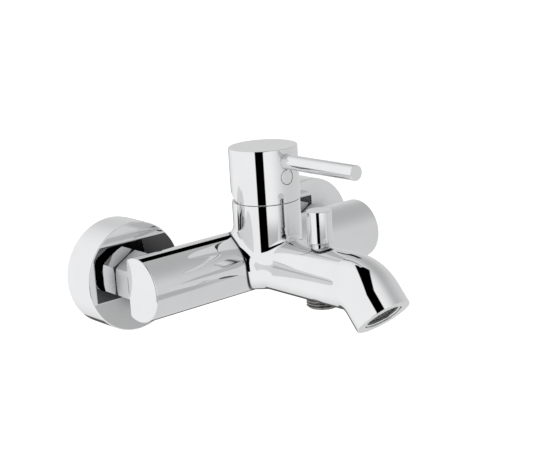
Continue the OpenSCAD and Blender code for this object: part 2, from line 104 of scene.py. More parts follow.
class Grain(Enum):
    """Small-scale surface pattern of a finish: stretch along X, Y, Z and pattern size."""

    POLISHED = "polished"
    TURNED = "turned"
    DRAWN = "drawn"
    MOULDED = "moulded"
    CELLULAR = "cellular"


# ---- Places read from the frame ----


def box_mm(node: str) -> tuple[Array, Array]:
    """Gives a CAD node's box in millimetres.

    Args:
        node: name of the CAD node.
    Returns:
        Lowest and highest corner.
    """
    low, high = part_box(node)
    return np.array(low) / MM, np.array(high) / MM


@dataclass(frozen=True)
class Datum:
    """Axes and end faces of the mixer, read from the CAD nodes' boxes."""

    rise: float
    inlet_x: float
    column_y: float
    diverter_y: float
    half_length: float
    tube_back_y: float

    @classmethod
    def read(cls) -> "Datum":
        """Reads the places.

        Returns:
            The datum, where rise is the mean height of a union nut, and each axis is
            the middle of the box of a round piece on it.
        """
        nut_low, nut_high = box_mm("union_nut_right")
        ring_low, ring_high = box_mm("cartridge_nut")
        knob_low, knob_high = box_mm("diverter_knob")
        casting_high = box_mm("body_casting")[1]
        return cls(
            rise=float(nut_low[2] + nut_high[2]) / 2,
            inlet_x=float(nut_low[0] + nut_high[0]) / 2,
            column_y=float(ring_low[1] + ring_high[1]) / 2,
            diverter_y=float(knob_low[1] + knob_high[1]) / 2,
            half_length=float(casting_high[0]),
            tube_back_y=float(casting_high[1]) - BOSS_LENGTH,
        )


# ---- Mesh tools ----


@dataclass(frozen=True)
class Axes:
    """A local frame: origin and three unit directions."""

    origin: Array
    u: Array
    v: Array
    w: Array

    def place(self, a: Array, b: Array, c: Array) -> Array:
        """Gives points origin + a u + b v + c w, with a last axis of 3."""
        return self.origin + self.turn(a, b, c)

    def turn(self, a: Array, b: Array, c: Array) -> Array:
        """Gives vectors a u + b v + c w, with a last axis of 3."""
        return a[..., None] * self.u + b[..., None] * self.v + c[..., None] * self.w

    def ring(self, radius: Array, angle: Array, height: Array) -> Array:
        """Gives points at a radius and an angle round w, and a height along it."""
        return self.place(radius * np.cos(angle), radius * np.sin(angle), height)


def upright(x: float, y: float, z: float) -> Axes:
    """Gives a frame whose w points up at (x, y, z)."""
    return Axes(np.array((x, y, z)), X_AXIS, Y_AXIS, Z_AXIS)


def outward(x: float, y: float, z: float) -> Axes:
    """Gives a frame whose w points away from the wall at (x, y, z)."""
    return Axes(np.array((x, y, z)), X_AXIS, Z_AXIS, -Y_AXIS)


def unit(vectors: Array) -> Array:
    """Gives each vector divided by its length."""
    return vectors / np.maximum(np.linalg.norm(vectors, axis=-1, keepdims=True), 1e-12)


def smooth(x: Array, low: float, high: float) -> Array:
    """Gives t t (3 - 2 t), where t is x's share of the way from low to high, from 0 to 1."""
    t = np.clip((x - low) / (high - low), 0.0, 1.0)
    return t * t * (3.0 - 2.0 * t)


def fillet(
    corners: Sequence[tuple[float, float, float]], hollow_shade: bool = False, steps: int = 6
) -> tuple[Array, Array]:
    """Carries a profile through its corners and rounds each of them.

    A corner that turns by angle t with rounding r becomes an arc that starts r tan(t / 2)
    before it. The material is on the left of the direction of travel.

    Args:
        corners: (a, b, rounding) of each corner.
        hollow_shade: joins the last corner to the first.
        steps: segments in one rounding.
    Returns:
        Points and outward unit normals, each (n, 2).
    """
    table = np.array(corners, float)
    spots, rounding = table[:, :2], table[:, 2]
    count = len(spots)
    points: list[Array] = []
    normals: list[Array] = []
    for i in range(count):
        if not hollow_shade and i in (0, count - 1):
            leg = unit(spots[1] - spots[0]) if i == 0 else unit(spots[-1] - spots[-2])
            points.append(spots[i][None])
            normals.append(np.array([[leg[1], -leg[0]]]))
            continue
        before = unit(spots[i] - spots[i - 1])
        after = unit(spots[(i + 1) % count] - spots[i])
        turn = np.arctan2(before[0] * after[1] - before[1] * after[0], before @ after)
        radius = max(rounding[i], 0.01)
        start = spots[i] - before * radius * np.tan(abs(turn) / 2)
        side = np.sign(turn) * np.array((-before[1], before[0]))
        a = np.linspace(0.0, abs(turn), steps + 1)[:, None]
        points.append(start + radius * (np.sin(a) * before + (1 - np.cos(a)) * side))
        along = np.cos(a) * before + np.sin(a) * side
        normals.append(np.stack([along[:, 1], -along[:, 0]], -1))
    path, outwards = np.concatenate(points), np.concatenate(normals)
    if hollow_shade:
        path, outwards = np.vstack([path, path[:1]]), np.vstack([outwards, outwards[:1]])
    return path, outwards


def grid_normals(points: Array, centre: Array) -> Array:
    """Gives the normals of a grid that is closed along its columns.

    The normal is the cross product of the central differences along rows and columns,
    turned away from the given centre line.

    Args:
        points: (rows, columns, 3).
        centre: a point inside for each grid point, broadcast to points.
    Returns:
        Unit normals (rows, columns, 3).
    """
    around = np.roll(points, -1, axis=1) - np.roll(points, 1, axis=1)
    along = np.gradient(points, axis=0)
    normals = unit(np.cross(around, along))
    facing = (normals * (points - centre)).sum(-1, keepdims=True)
    return np.where(facing < 0, -normals, normals)


def around(steps: int) -> Array:
    """Gives equally spaced angles round a full turn."""
    return np.linspace(0.0, 2 * np.pi, steps, endpoint=False)


class Shell:
    """Grids and loose faces welded into one closed surface with exact normals."""

    def __init__(self) -> None:
        """Starts with no faces."""
        self.points: list[Array] = []
        self.normals: list[Array] = []
        self.faces: list[Array] = []
        self.count = 0

    def add(self, points: Array, normals: Array, faces: Array) -> None:
        """Adds loose quads.

        Args:
            points: (n, 3) in millimetres.
            normals: (n, 3) outward.
            faces: (m, 4) indices into points.
        """
        self.points.append(points.reshape(-1, 3))
        self.normals.append(normals.reshape(-1, 3))
        self.faces.append(faces + self.count)
        self.count += len(self.points[-1])

    def grid(self, points: Array, normals: Array, hollow_shade: bool = True) -> None:
        """Adds a grid of quads.

        Args:
            points: (rows, columns, 3).
            normals: the same shape, or one that broadcasts to it.
            hollow_shade: joins the last column to the first.
        """
        rows, columns = points.shape[:2]
        ids = np.arange(rows * columns).reshape(rows, columns)
        here, beside = (ids, np.roll(ids, -1, axis=1)) if hollow_shade else (ids[:, :-1], ids[:, 1:])
        quads = np.stack([here[:-1], beside[:-1], beside[1:], here[1:]], -1).reshape(-1, 4)
        self.add(points, np.broadcast_to(normals, points.shape), quads)

    def lid(self, ring: Array, normal: Array, steps: int = 3) -> None:
        """Closes a flat ring with straight lines to its middle.

        Args:
            ring: (n, 3), the edge.
            normal: the lid's outward normal.
            steps: points on each line.
        """
        middle = ring.mean(0)
        share = np.linspace(1.0, 0.0, steps)[:, None, None]
        self.grid(middle + share * (ring - middle)[None], normal)

    def revolve(self, axes: Axes, profile: tuple[Array, Array], angles: Array) -> None:
        """Turns a profile round a frame's w direction.

        A profile point (r, h) goes to r (cos a u + sin a v) + h w.

        Args:
            axes: the frame.
            profile: points and normals, each (n, 2).
            angles: the turning angles.
        """
        points, normals = profile
        c, s = np.cos(angles)[None], np.sin(angles)[None]
        r, h = points[:, :1], points[:, 1:]
        nr, nh = normals[:, :1], normals[:, 1:]
        flat = np.ones_like(c)
        self.grid(axes.place(r * c, r * s, h * flat), axes.turn(nr * c, nr * s, nh * flat))

    def build(self, name: str) -> bpy.types.Object:
        """Welds what was added and makes the Blender object.

        Points closer than the weld distance become one, quads with two corners in one
        place become triangles, and every face is turned to agree with its normals.

        Args:
            name: name of the object.
        Returns:
            The object, at the origin, with its custom normals.
        """
        points = np.concatenate(self.points)
        normals = unit(np.concatenate(self.normals))
        faces = np.concatenate(self.faces)
        keys = np.round(points / WELD).astype(np.int64)
        _, first, joined = np.unique(keys, axis=0, return_index=True, return_inverse=True)
        joined = joined.reshape(-1)
        corner = points[faces]
        facing = np.cross(corner[:, 2] - corner[:, 0], corner[:, 3] - corner[:, 1])
        backwards = (facing * normals[faces].sum(1)).sum(1) < 0
        faces[backwards] = faces[backwards][:, ::-1]
        loops = joined[faces]
        repeated = loops == np.roll(loops, -1, axis=1)
        whole, three = ~repeated.any(1), repeated.sum(1) == 1
        kept = ~repeated[three]
        quads, triangles = loops[whole], loops[three][kept].reshape(-1, 3)
        shading = np.concatenate([
            normals[faces[whole]].reshape(-1, 3), normals[faces[three]][kept].reshape(-1, 3)
        ])
        mesh = bpy.data.meshes.new(name)
        mesh.from_pydata((points[first] * MM).tolist(), [], quads.tolist() + triangles.tolist())
        mesh.shade_smooth()
        mesh.normals_split_custom_set(shading.tolist())
        mesh.update()
        piece = bpy.data.objects.new(name, mesh)
        bpy.context.scene.collection.objects.link(piece)
        return piece


def surface_net(
    value: Callable[[Array], Array], low: Array, high: Array, step: float
) -> tuple[Array, Array, Array, Array]:
    """Wraps the zero surface of a field in quads, one vertex for each cell that it crosses.

    Args:
        value: field over points (..., 3), negative inside.
        low: lowest corner of the cells.
        high: highest corner.
        step: size of a cell.
    Returns:
        Vertices (n, 3), quads (m, 4), each vertex's cell (n, 3) and the number of cells (3,).
    """
    lines = [np.arange(a, b + step / 2, step) for a, b in zip(low, high)]
    corners = np.stack(np.meshgrid(*lines, indexing="ij"), -1)
    level = value(corners)
    inside = level < 0
    cells = np.array(level.shape) - 1
    spans = [(slice(0, -1), slice(1, None))] * 3
    total, hits = np.zeros((*cells, 3)), np.zeros(cells)
    for axis in range(3):
        one, two = (axis + 1) % 3, (axis + 2) % 3
        for a in (0, 1):
            for b in (0, 1):
                pick: list[slice] = [slice(None)] * 3
                pick[one], pick[two] = spans[one][a], spans[two][b]
                near, far = list(pick), list(pick)
                near[axis], far[axis] = spans[axis]
                near_t, far_t = tuple(near), tuple(far)
                crossed = inside[near_t] != inside[far_t]
                gap = np.where(crossed, level[near_t] - level[far_t], 1.0)
                share = (level[near_t] / gap)[..., None]
                spot = corners[near_t] + share * (corners[far_t] - corners[near_t])
                total += np.where(crossed[..., None], spot, 0.0)
                hits += crossed
    active = hits > 0
    ids = np.full(cells, -1)
    ids[active] = np.arange(active.sum())
    quads: list[Array] = []
    for axis in range(3):
        one, two = (axis + 1) % 3, (axis + 2) % 3
        near, far = [slice(None)] * 3, [slice(None)] * 3
        near[axis], far[axis] = spans[axis]
        for other in (one, two):
            near[other] = far[other] = slice(1, -1)
        crossed = inside[tuple(near)] != inside[tuple(far)]
        ring = []
        for a, b in ((0, 0), (1, 0), (1, 1), (0, 1)):
            pick = [slice(None)] * 3
            pick[one], pick[two] = spans[one][a], spans[two][b]
            ring.append(ids[tuple(pick)][crossed])
        quads.append(np.stack(ring, -1))
    return total[active] / hits[active][:, None], np.concatenate(quads), np.argwhere(active), cells


def slope(value: Callable[[Array], Array], points: Array, reach: float = 0.01) -> Array:
    """Gives the gradient of a field by central differences, (..., 3)."""
    steps = np.eye(3) * reach
    return np.stack(
        [(value(points + s) - value(points - s)) / (2 * reach) for s in steps], -1
    )


def settle(
    value: Callable[[Array], Array], points: Array, held: Array, rounds: int = 5
) -> Array:
    """Moves points onto a field's zero surface by Newton's method.

    Each round takes p to p - f g / |g|^2, where g is the gradient without held directions.

    Args:
        value: the field.
        points: (n, 3).
        held: (n, 3), true where a coordinate must not change.
        rounds: number of rounds.
    Returns:
        The moved points.
    """
    for _ in range(rounds):
        g = np.where(held, 0.0, slope(value, points))
        size = np.maximum((g * g).sum(-1, keepdims=True), 1e-9)
        points = points - value(points)[:, None] * g / size
    return points


def round_union(a: Array, b: Array, radius: Array | float) -> Array:
    """Joins two distance fields with a fillet.

    The value is max(r, min(a, b)) - |(max(r - a, 0), max(r - b, 0))|.
    """
    reach = np.hypot(np.maximum(radius - a, 0.0), np.maximum(radius - b, 0.0))
    return np.maximum(radius, np.minimum(a, b)) - reach


def round_cut(a: Array, b: Array, radius: float) -> Array:
    """Intersects two distance fields with a rounded edge.

    The value is min(-r, max(a, b)) + |(max(r + a, 0), max(r + b, 0))|.
    """
    reach = np.hypot(np.maximum(radius + a, 0.0), np.maximum(radius + b, 0.0))
    return np.minimum(-radius, np.maximum(a, b)) + reach


# ---- Finishes ----


class Nodes:
    """Short calls for building a material's node graph."""

    def __init__(self, material: bpy.types.Material) -> None:
        """Empties the material's node tree and works on it.

        Args:
            material: the material.
        """
        material.use_nodes = True
        self.tree = material.node_tree
        self.tree.nodes.clear()

    def add(self, kind: str, **settings: object) -> bpy.types.Node:
        """Adds a node and sets its properties."""
        made = self.tree.nodes.new(kind)
        for key, value in settings.items():
            setattr(made, key, value)
        return made

    def join(self, source: bpy.types.NodeSocket, target: bpy.types.NodeSocket) -> None:
        """Links two sockets."""
        self.tree.links.new(source, target)

    def math(
        self, operation: str, a: object, b: object = None, clamp: bool = False
    ) -> bpy.types.NodeSocket:
        """Adds a math node over sockets or numbers and gives its result."""
        made = self.add("ShaderNodeMath", operation=operation, use_clamp=clamp)
        for socket, value in zip(made.inputs, (a, b)):
            if isinstance(value, bpy.types.NodeSocket):
                self.join(value, socket)
            elif value is not None:
                socket.default_value = value
        return made.outputs[0]

    def ramp(
        self, value: bpy.types.NodeSocket, low: float, high: float,
        to_low: float = 0.0, to_high: float = 1.0,
    ) -> bpy.types.NodeSocket:
        """Adds a smooth step that takes low to to_low and high to to_high."""
        made = self.add("ShaderNodeMapRange", interpolation_type="SMOOTHSTEP")
        self.join(value, made.inputs["Value"])
        for name, number in (
            ("From Min", low), ("From Max", high), ("To Min", to_low), ("To Max", to_high)
        ):
            made.inputs[name].default_value = number
        return made.outputs["Result"]

    def dot(self, vector: bpy.types.NodeSocket, along: Sequence[float]) -> bpy.types.NodeSocket:
        """Adds the dot product of a vector with a fixed one."""
        made = self.add("ShaderNodeVectorMath", operation="DOT_PRODUCT")
        self.join(vector, made.inputs[0])
        made.inputs[1].default_value = along
        return made.outputs["Value"]


@dataclass(frozen=True)
class Finish:
    """A procedural finish: one of the record's slots, with its colour, small detail and painted
    shade.
    """

    slot: Slot
    colour: tuple[float, float, float]
    tint: tuple[float, float, float]
    metallic: float
    roughness: tuple[float, float]
    grain: Grain
    grain_mm: float
    bump_mm: float
    coat: float = 0.0
    # How far the painted shade darkens the colour in the most closed-in hollows.
    shade: float = 0.85

    def stretch(self) -> tuple[float, float, float]:
        """Gives the pattern's scale along X, Y and Z, per metre."""
        fine = 1.0 / (self.grain_mm * MM)
        return {
            Grain.POLISHED: (fine, fine, fine),
            Grain.TURNED: (fine * 0.12, fine * 0.12, fine),
            Grain.DRAWN: (fine * 0.15, fine, fine),
            Grain.MOULDED: (fine, fine, fine),
            Grain.CELLULAR: (fine, fine, fine),
        }[self.grain]

    def build(self) -> bpy.types.Material:
        """Makes the material.

        Roughness and colour follow a slow noise, and the bump follows the fine grain.
        The colour falls towards black as painted shade: in narrow hollows, where an ambient
        occlusion node finds the surface closed in, and along a crease that a piece marks in a mesh
        attribute.

        Returns:
            The material, named after its slot.
        """
        material = bpy.data.materials.new(self.slot.value)
        nodes = Nodes(material)
        place = nodes.add("ShaderNodeTexCoord").outputs["Object"]
        mapping = nodes.add("ShaderNodeMapping")
        mapping.inputs["Scale"].default_value = self.stretch()
        nodes.join(place, mapping.inputs["Vector"])
        if self.grain is Grain.CELLULAR:
            fine = nodes.add("ShaderNodeTexVoronoi")
            fine.inputs["Scale"].default_value = 1.0
            pattern = fine.outputs["Distance"]
        else:
            fine = nodes.add("ShaderNodeTexNoise")
            fine.inputs["Scale"].default_value = 1.0
            fine.inputs["Detail"].default_value = 3.0
            pattern = fine.outputs["Fac"]
        nodes.join(mapping.outputs["Vector"], fine.inputs["Vector"])
        slow = nodes.add("ShaderNodeTexNoise")
        slow.inputs["Scale"].default_value = 60.0
        slow.inputs["Detail"].default_value = 4.0
        nodes.join(place, slow.inputs["Vector"])
        shader = nodes.add("ShaderNodeBsdfPrincipled")
        shader.inputs["Metallic"].default_value = self.metallic
        shader.inputs["Coat Weight"].default_value = self.coat
        mixed = nodes.math("MULTIPLY_ADD", pattern, 0.4)
        mixed.node.inputs[2].default_value = 0.0
        nodes.join(
            nodes.ramp(
                nodes.math("ADD", nodes.math("MULTIPLY", slow.outputs["Fac"], 0.6), mixed),
                0.3, 0.7, *self.roughness,
            ),
            shader.inputs["Roughness"],
        )
        blend = nodes.add("ShaderNodeMix", data_type="RGBA")
        nodes.join(nodes.ramp(slow.outputs["Fac"], 0.3, 0.7), blend.inputs["Factor"])
        blend.inputs[6].default_value = (*self.colour, 1.0)
        blend.inputs[7].default_value = (*self.tint, 1.0)
        # Painted shade: a dark line along the crease between the casting's centre and its tube,
        # read from a mesh attribute.
        crease_shade = nodes.add("ShaderNodeAttribute")
        crease_shade.attribute_name = "crease_shade"
        # Painted shade: darkens the colour where ambient occlusion finds hollows, recesses and gaps
        # between parts.
        occlusion_probe = nodes.add("ShaderNodeAmbientOcclusion")
        occlusion_probe.samples = 6
        occlusion_probe.inputs["Distance"].default_value = 0.03
        hollow_shade = nodes.ramp(occlusion_probe.outputs["AO"], 0.15, 0.72, self.shade, 0.0)
        shade = nodes.add("ShaderNodeMix", data_type="RGBA")
        nodes.join(nodes.math("MAXIMUM", crease_shade.outputs["Fac"], hollow_shade), shade.inputs["Factor"])
        nodes.join(blend.outputs[2], shade.inputs[6])
        shade.inputs[7].default_value = (0.01, 0.01, 0.01, 1.0)
        nodes.join(shade.outputs[2], shader.inputs["Base Color"])
        bump = nodes.add("ShaderNodeBump")
        bump.inputs["Strength"].default_value = 1.0
        bump.inputs["Distance"].default_value = self.bump_mm * MM
        nodes.join(pattern, bump.inputs["Height"])
        nodes.join(bump.outputs["Normal"], shader.inputs["Normal"])
        output = nodes.add("ShaderNodeOutputMaterial")
        nodes.join(shader.outputs["BSDF"], output.inputs["Surface"])
        return material


@dataclass
class Finishes:
    """All finishes of the mixer, made once and shared."""

    table: tuple[Finish, ...] = (
        Finish(Slot.CHROME, (0.86, 0.865, 0.875), (0.84, 0.845, 0.855), 1.0,
               (0.012, 0.03), Grain.POLISHED, 9.0, 0.0006),
        Finish(Slot.NICKEL, (0.42, 0.415, 0.405), (0.34, 0.335, 0.325), 1.0,
               (0.16, 0.3), Grain.TURNED, 0.5, 0.01),
        Finish(Slot.BRASS, (0.74, 0.55, 0.27), (0.66, 0.48, 0.22), 1.0,
               (0.2, 0.36), Grain.TURNED, 0.5, 0.02),
        Finish(Slot.STEEL, (0.60, 0.61, 0.62), (0.52, 0.53, 0.54), 1.0,
               (0.18, 0.32), Grain.DRAWN, 0.4, 0.01),
        Finish(Slot.RUBBER, (0.018, 0.018, 0.018), (0.03, 0.03, 0.03), 0.0,
               (0.5, 0.7), Grain.MOULDED, 0.4, 0.03),
        Finish(Slot.FOAM, (0.06, 0.06, 0.065), (0.09, 0.09, 0.1), 0.0,
               (0.8, 0.95), Grain.CELLULAR, 0.7, 0.25),
        Finish(Slot.CERAMIC, (0.86, 0.84, 0.8), (0.82, 0.8, 0.76), 0.0,
               (0.12, 0.2), Grain.MOULDED, 0.3, 0.004, 0.3),
        # The white plastic slot is given a near-black grey: painted shade for the aerator insert
        # that sits deep inside the outlet.
        Finish(Slot.WHITE, (0.11, 0.11, 0.108), (0.09, 0.09, 0.088), 0.0,
               (0.32, 0.45), Grain.MOULDED, 0.6, 0.02),
        Finish(Slot.DARK, (0.05, 0.055, 0.065), (0.07, 0.075, 0.085), 0.0,
               (0.35, 0.5), Grain.MOULDED, 0.6, 0.02),
    )
    made: dict[str, bpy.types.Material] = field(default_factory=dict)

    def build(self) -> None:
        """Makes every material and gives each CAD node the one of its slot."""
        self.made = {finish.slot.value: finish.build() for finish in self.table}
        for part in frame["record"]["subparts"]:
            node = frame["nodes"].get(part["node"])
            if node is not None:
                node.data.materials.clear()
                node.data.materials.append(self.made[part["material_slot"]])

    def dress(self, piece: bpy.types.Object, slot: Slot) -> None:
        """Gives a piece its material and names its slot.

        Args:
            piece: the piece.
            slot: the record's slot.
        """
        piece.data.materials.clear()
        piece.data.materials.append(self.made[slot.value])


@dataclass
class Maker:
    """What every sub-assembly needs: the places, the finishes and a way to hand a piece over."""

    datum: Datum
    finishes: Finishes

    def finish(
        self, shell: Shell, name: str, slot: Slot, body: Body, *nodes: str
    ) -> bpy.types.Object:
        """Builds a piece, dresses it and hands it over to the frame.

        Args:
            shell: the piece's surface.
            name: its name.
            slot: its material slot.
            body: the CAD body that it rides on.
            nodes: the CAD nodes that it stands for.
        Returns:
            The piece.
        """
        piece = shell.build(name)
        self.finishes.dress(piece, slot)
        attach(piece, body.value)
        if nodes:
            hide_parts(*nodes)
        LOG.info("%s: %d faces on %s", name, len(piece.data.polygons), body.value)
        return piece

    def turned(
        self, axes: Axes, profile: tuple[Array, Array], steps: int, name: str, body: Body, node: str
    ) -> None:
        """Builds a chromed piece that is round about one axis.

        Args:
            axes: frame with w along the axis.
            profile: the profile's points and normals.
            steps: columns round the axis.
            name: the piece's name.
            body: the CAD body that it rides on.
            node: the CAD node that it stands for.
        """
        shell = Shell()
        shell.revolve(axes, profile, around(steps))
        self.finish(shell, name, Slot.CHROME, body, node)


# ---- Body casting ----


@dataclass
class Casting:
    """The one-piece body: D-shaped tube, column, spout and the two inlet bosses."""

    maker: Maker
    tube_r: float = 20.0
    tube_back: float = 9.0
    back_corner: float = 1.0
    end_edge: float = 0.9
    column_r: float = 21.5
    column_top_h: float = 40.6
    spout_r: float = 17.6
    bend_start: float = 141.36
    bend_r: float = 22.0
    bend_turn: float = 49.5
    leg: float = 12.86
    outlet_bore_r: float = 12.05
    outlet_depth: float = 13.0
    spout_fillet: float = 8.0
    tube_fillet: float = 7.0
    fillet_low_h: float = -16.0
    fillet_full_h: float = 2.0
    fillet_fall_h: tuple[float, float] = (3.0, 13.0)
    fillet_fall: float = 0.7
    fillet_least: float = 0.02
    crease_step: float = 1.5
    # Width of the painted shade line along the crease where the centre meets the tube.
    crease_shade_width: float = 0.75
    cell: float = 0.5
    core_half: float = 30.0
    core_out: float = 97.5
    core_top_h: float = 28.0
    core_low_h: float = -22.0
    core_back_y: float = -41.5
    seat_r: float = 19.05
    seat_h: float = 33.95
    bore_r: float = 17.75
    bore_h: float = 15.0
    tail_bore_r: float = 9.85
    boss_r: float = 12.0
    boss_out: float = 38.3
    shell: Shell = field(default_factory=Shell)

    def tube_y(self) -> float:
        """Gives the Y of the tube's axis: its flat back less the distance to the axis."""
        return self.maker.datum.tube_back_y - self.tube_back

    def halves(self, p: Array) -> tuple[Array, Array]:
        """Gives the signed distances of the tube and of the centre body.

        The tube is a circle cut flat at the back. The column is a cylinder that ends
        below in half an ellipsoid. The spout is a capsule. Column and spout join in a
        round union, whose radius grows from fillet_low_h up and is less again above the
        spout. A second one, with a tube crease_step smaller, flares them out so that
        they meet the real tube at a clear angle.

        Args:
            p: points (..., 3) in millimetres.
        Returns:
            The two distances, negative inside.
        """
        x, y, z = p[..., 0], p[..., 1], p[..., 2] - self.maker.datum.rise
        axis_y = self.tube_y()
        tube = round_cut(
            np.hypot(y - axis_y, z) - self.tube_r, y - axis_y - self.tube_back, self.back_corner
        )
        behind = y - self.maker.datum.column_y
        below = np.minimum(z, 0.0) * self.column_r / self.spout_r
        column = np.sqrt(x * x + behind**2 + below**2) - self.column_r
        spout = np.sqrt(x * x + z * z + np.maximum(behind, 0.0) ** 2) - self.spout_r
        grown = smooth(z, self.fillet_low_h, self.fillet_full_h)
        kept = 1.0 - self.fillet_fall * smooth(z, *self.fillet_fall_h)
        fillet_r = self.fillet_least + self.spout_fillet * grown * kept
        return tube, round_union(
            round_union(column, spout, fillet_r), tube + self.crease_step, self.tube_fillet
        )

    def value(self, p: Array) -> Array:
        """Gives the signed distance of the casting's middle.

        Args:
            p: points (..., 3) in millimetres.
        Returns:
            Distance, negative inside.
        """
        return np.minimum(*self.halves(p))

    def crease_shade(self, p: Array) -> Array:
        """Gives the painted shade along the crease where the centre meets the tube.

        Args:
            p: points (..., 3) in millimetres.
        Returns:
            1 on the crease, where the painted dark line is strongest, falling to 0 within about the
            line's width.
        """
        tube, centre = self.halves(p)
        return 1.0 - smooth(np.hypot(tube, centre), 0.3 * self.crease_shade_width, self.crease_shade_width)

    def core(self) -> dict[str, tuple[Array, Array]]:
        """Adds the middle, where tube, column and spout flow into each other.

        Returns:
            For each open end its loop of points and normals, ordered by angle.
        """
        rise, column_y = self.maker.datum.rise, self.maker.datum.column_y
        low = np.array((-self.core_half, -self.core_out, rise + self.core_low_h))
        high = np.array((self.core_half, self.core_back_y, rise + self.core_top_h))
        points, quads, cell, cells = surface_net(self.value, low, high, self.cell)
        ends = {
            "left": (0, cell[:, 0] == 0, low[0]),
            "right": (0, cell[:, 0] == cells[0] - 1, high[0]),
            "spout": (1, cell[:, 1] == 0, low[1]),
            "column": (2, cell[:, 2] == cells[2] - 1, high[2]),
        }
        held = np.zeros(points.shape, bool)
        for axis, chosen, plane in ends.values():
            points[chosen, axis] = plane
            held[chosen, axis] = True
        points = settle(self.value, points, held)
        normals = unit(slope(self.value, points))
        self.shell.add(points, normals, quads)
        centre = {
            "left": (self.tube_y(), rise), "right": (self.tube_y(), rise),
            "spout": (0.0, rise), "column": (0.0, column_y),
        }
        loops = {}
        for name, (axis, chosen, _) in ends.items():
            rest = [i for i in range(3) if i != axis]
            spot = points[chosen]
            angle = np.arctan2(
                spot[:, rest[1]] - centre[name][1], spot[:, rest[0]] - centre[name][0]
            )
            order = np.argsort(angle)
            loops[name] = (spot[order], normals[chosen][order])
        return loops

    def carry_tube(self, loop: tuple[Array, Array], side: int) -> None:
        """Carries a D-shaped loop along X to the end face.

        Args:
            loop: the loop's points and normals.
            side: -1 for the left end, 1 for the right.
        """
        ring, outwards = loop
        outwards = unit(outwards * (0.0, 1.0, 1.0))
        straight = np.linspace(self.core_half, self.maker.datum.half_length - self.end_edge, 6)
        a = np.linspace(0.0, np.pi / 2, 7)
        shift = np.concatenate([np.zeros(5), self.end_edge * (1 - np.cos(a))])
        along = np.concatenate([straight[:5], straight[5] + self.end_edge * np.sin(a)])
        tilt = np.concatenate([np.zeros(5), a])
        rows = ring[None] - shift[:, None, None] * outwards[None]
        rows[..., 0] = side * along[:, None]
        rows[0] = ring
        normals = (
            np.cos(tilt)[:, None, None] * outwards[None]
            + np.sin(tilt)[:, None, None] * side * X_AXIS
        )
        self.shell.grid(rows, normals)
        self.shell.lid(rows[-1], side * X_AXIS, 5)

    def carry_column(self, loop: tuple[Array, Array]) -> None:
        """Carries the column's loop up to its rim and down its bore.

        Args:
            loop: the loop's points and normals.
        """
        datum = self.maker.datum
        ring = loop[0]
        angles = np.arctan2(ring[:, 1] - datum.column_y, ring[:, 0])
        profile = fillet([
            (self.column_r, self.core_top_h, 0.0), (self.column_r, self.column_top_h, 0.3),
            (self.seat_r, self.column_top_h, 0.15), (self.seat_r, self.seat_h, 0.1),
            (self.bore_r, self.seat_h, 0.1), (self.bore_r, self.bore_h, 0.3),
            (0.0, self.bore_h, 0.0),
        ])
        self.shell.revolve(upright(0.0, datum.column_y, datum.rise), profile, angles)

    def outlet_axes(self) -> Axes:
        """Gives the frame in the middle of the outlet's face, w running out of the spout."""
        turn = np.radians(self.bend_turn)
        reach = self.bend_start + self.bend_r * np.sin(turn) + self.leg * np.cos(turn)
        drop = -self.bend_r * (1 - np.cos(turn)) - self.leg * np.sin(turn)
        return Axes(
            np.array((0.0, -reach, self.maker.datum.rise + drop)), X_AXIS,
            np.array((0.0, -np.sin(turn), np.cos(turn))),
            np.array((0.0, -np.cos(turn), -np.sin(turn))),
        )

    def carry_spout(self, loop: tuple[Array, Array]) -> None:
        """Carries the spout's loop round its bend to the rim and into the outlet.

        At angle t of the bend the centre is at start + R sin t out and R (1 - cos t) down.

        Args:
            loop: the loop's points and normals.
        """
        rise = self.maker.datum.rise
        ring = loop[0]
        angles = np.arctan2(ring[:, 2] - rise, ring[:, 0])
        turn = np.concatenate([np.zeros(3), np.linspace(0.0, np.radians(self.bend_turn), 37)])
        ahead = np.concatenate([np.linspace(self.core_out, self.bend_start, 4)[:3],
                                np.full(37, self.bend_start)])
        centre = np.stack([
            np.zeros_like(turn), -(ahead + self.bend_r * np.sin(turn)),
            rise - self.bend_r * (1 - np.cos(turn)),
        ], -1)
        lift = np.stack([np.zeros_like(turn), -np.sin(turn), np.cos(turn)], -1)
        spokes = (
            np.cos(angles)[None, :, None] * X_AXIS
            + np.sin(angles)[None, :, None] * lift[:, None]
        )
        rows = centre[:, None] + self.spout_r * spokes
        rows[0] = ring
        self.shell.grid(rows, spokes)
        profile = fillet([
            (self.spout_r, -self.leg, 0.0), (self.spout_r, 0.0, 0.4),
            (self.outlet_bore_r, 0.0, 0.3), (self.outlet_bore_r, -self.outlet_depth, 0.3),
            (0.0, -self.outlet_depth, 0.0),
        ])
        self.shell.revolve(self.outlet_axes(), profile, angles)

    def bosses(self) -> None:
        """Adds the two round bosses behind the tube that take the inlet tails.
        """
        datum = self.maker.datum
        inside = -datum.tube_back_y + 1.0
        profile = fillet([
            (0.0, inside - 2.0, 0.0), (self.tail_bore_r, inside - 2.0, 0.1),
            (self.tail_bore_r, self.boss_out, 0.2),
            (self.boss_r, self.boss_out, 0.3), (self.boss_r, inside, 0.1), (0.0, inside, 0.0),
        ])
        for side in (-1, 1):
            self.shell.revolve(outward(side * datum.inlet_x, 0.0, datum.rise), profile, around(96))

    def build(self) -> None:
        """Builds the casting, hands it over and marks the painted shade line along its crease."""
        loops = self.core()
        self.carry_tube(loops["left"], -1)
        self.carry_tube(loops["right"], 1)
        self.carry_column(loops["column"])
        self.carry_spout(loops["spout"])
        self.bosses()
        piece = self.maker.finish(self.shell, "casting", Slot.CHROME, Body.MIXER, "body_casting")
        # Stores the painted shade line along the centre-to-tube crease as a mesh attribute, which
        # the material darkens.
        spots = np.zeros(3 * len(piece.data.vertices))
        piece.data.vertices.foreach_get("co", spots)
        mark = piece.data.attributes.new("crease_shade", "FLOAT", "POINT")
        mark.data.foreach_set("value", self.crease_shade(spots.reshape(-1, 3) * 1000.0))


# ---- Threads and nuts ----


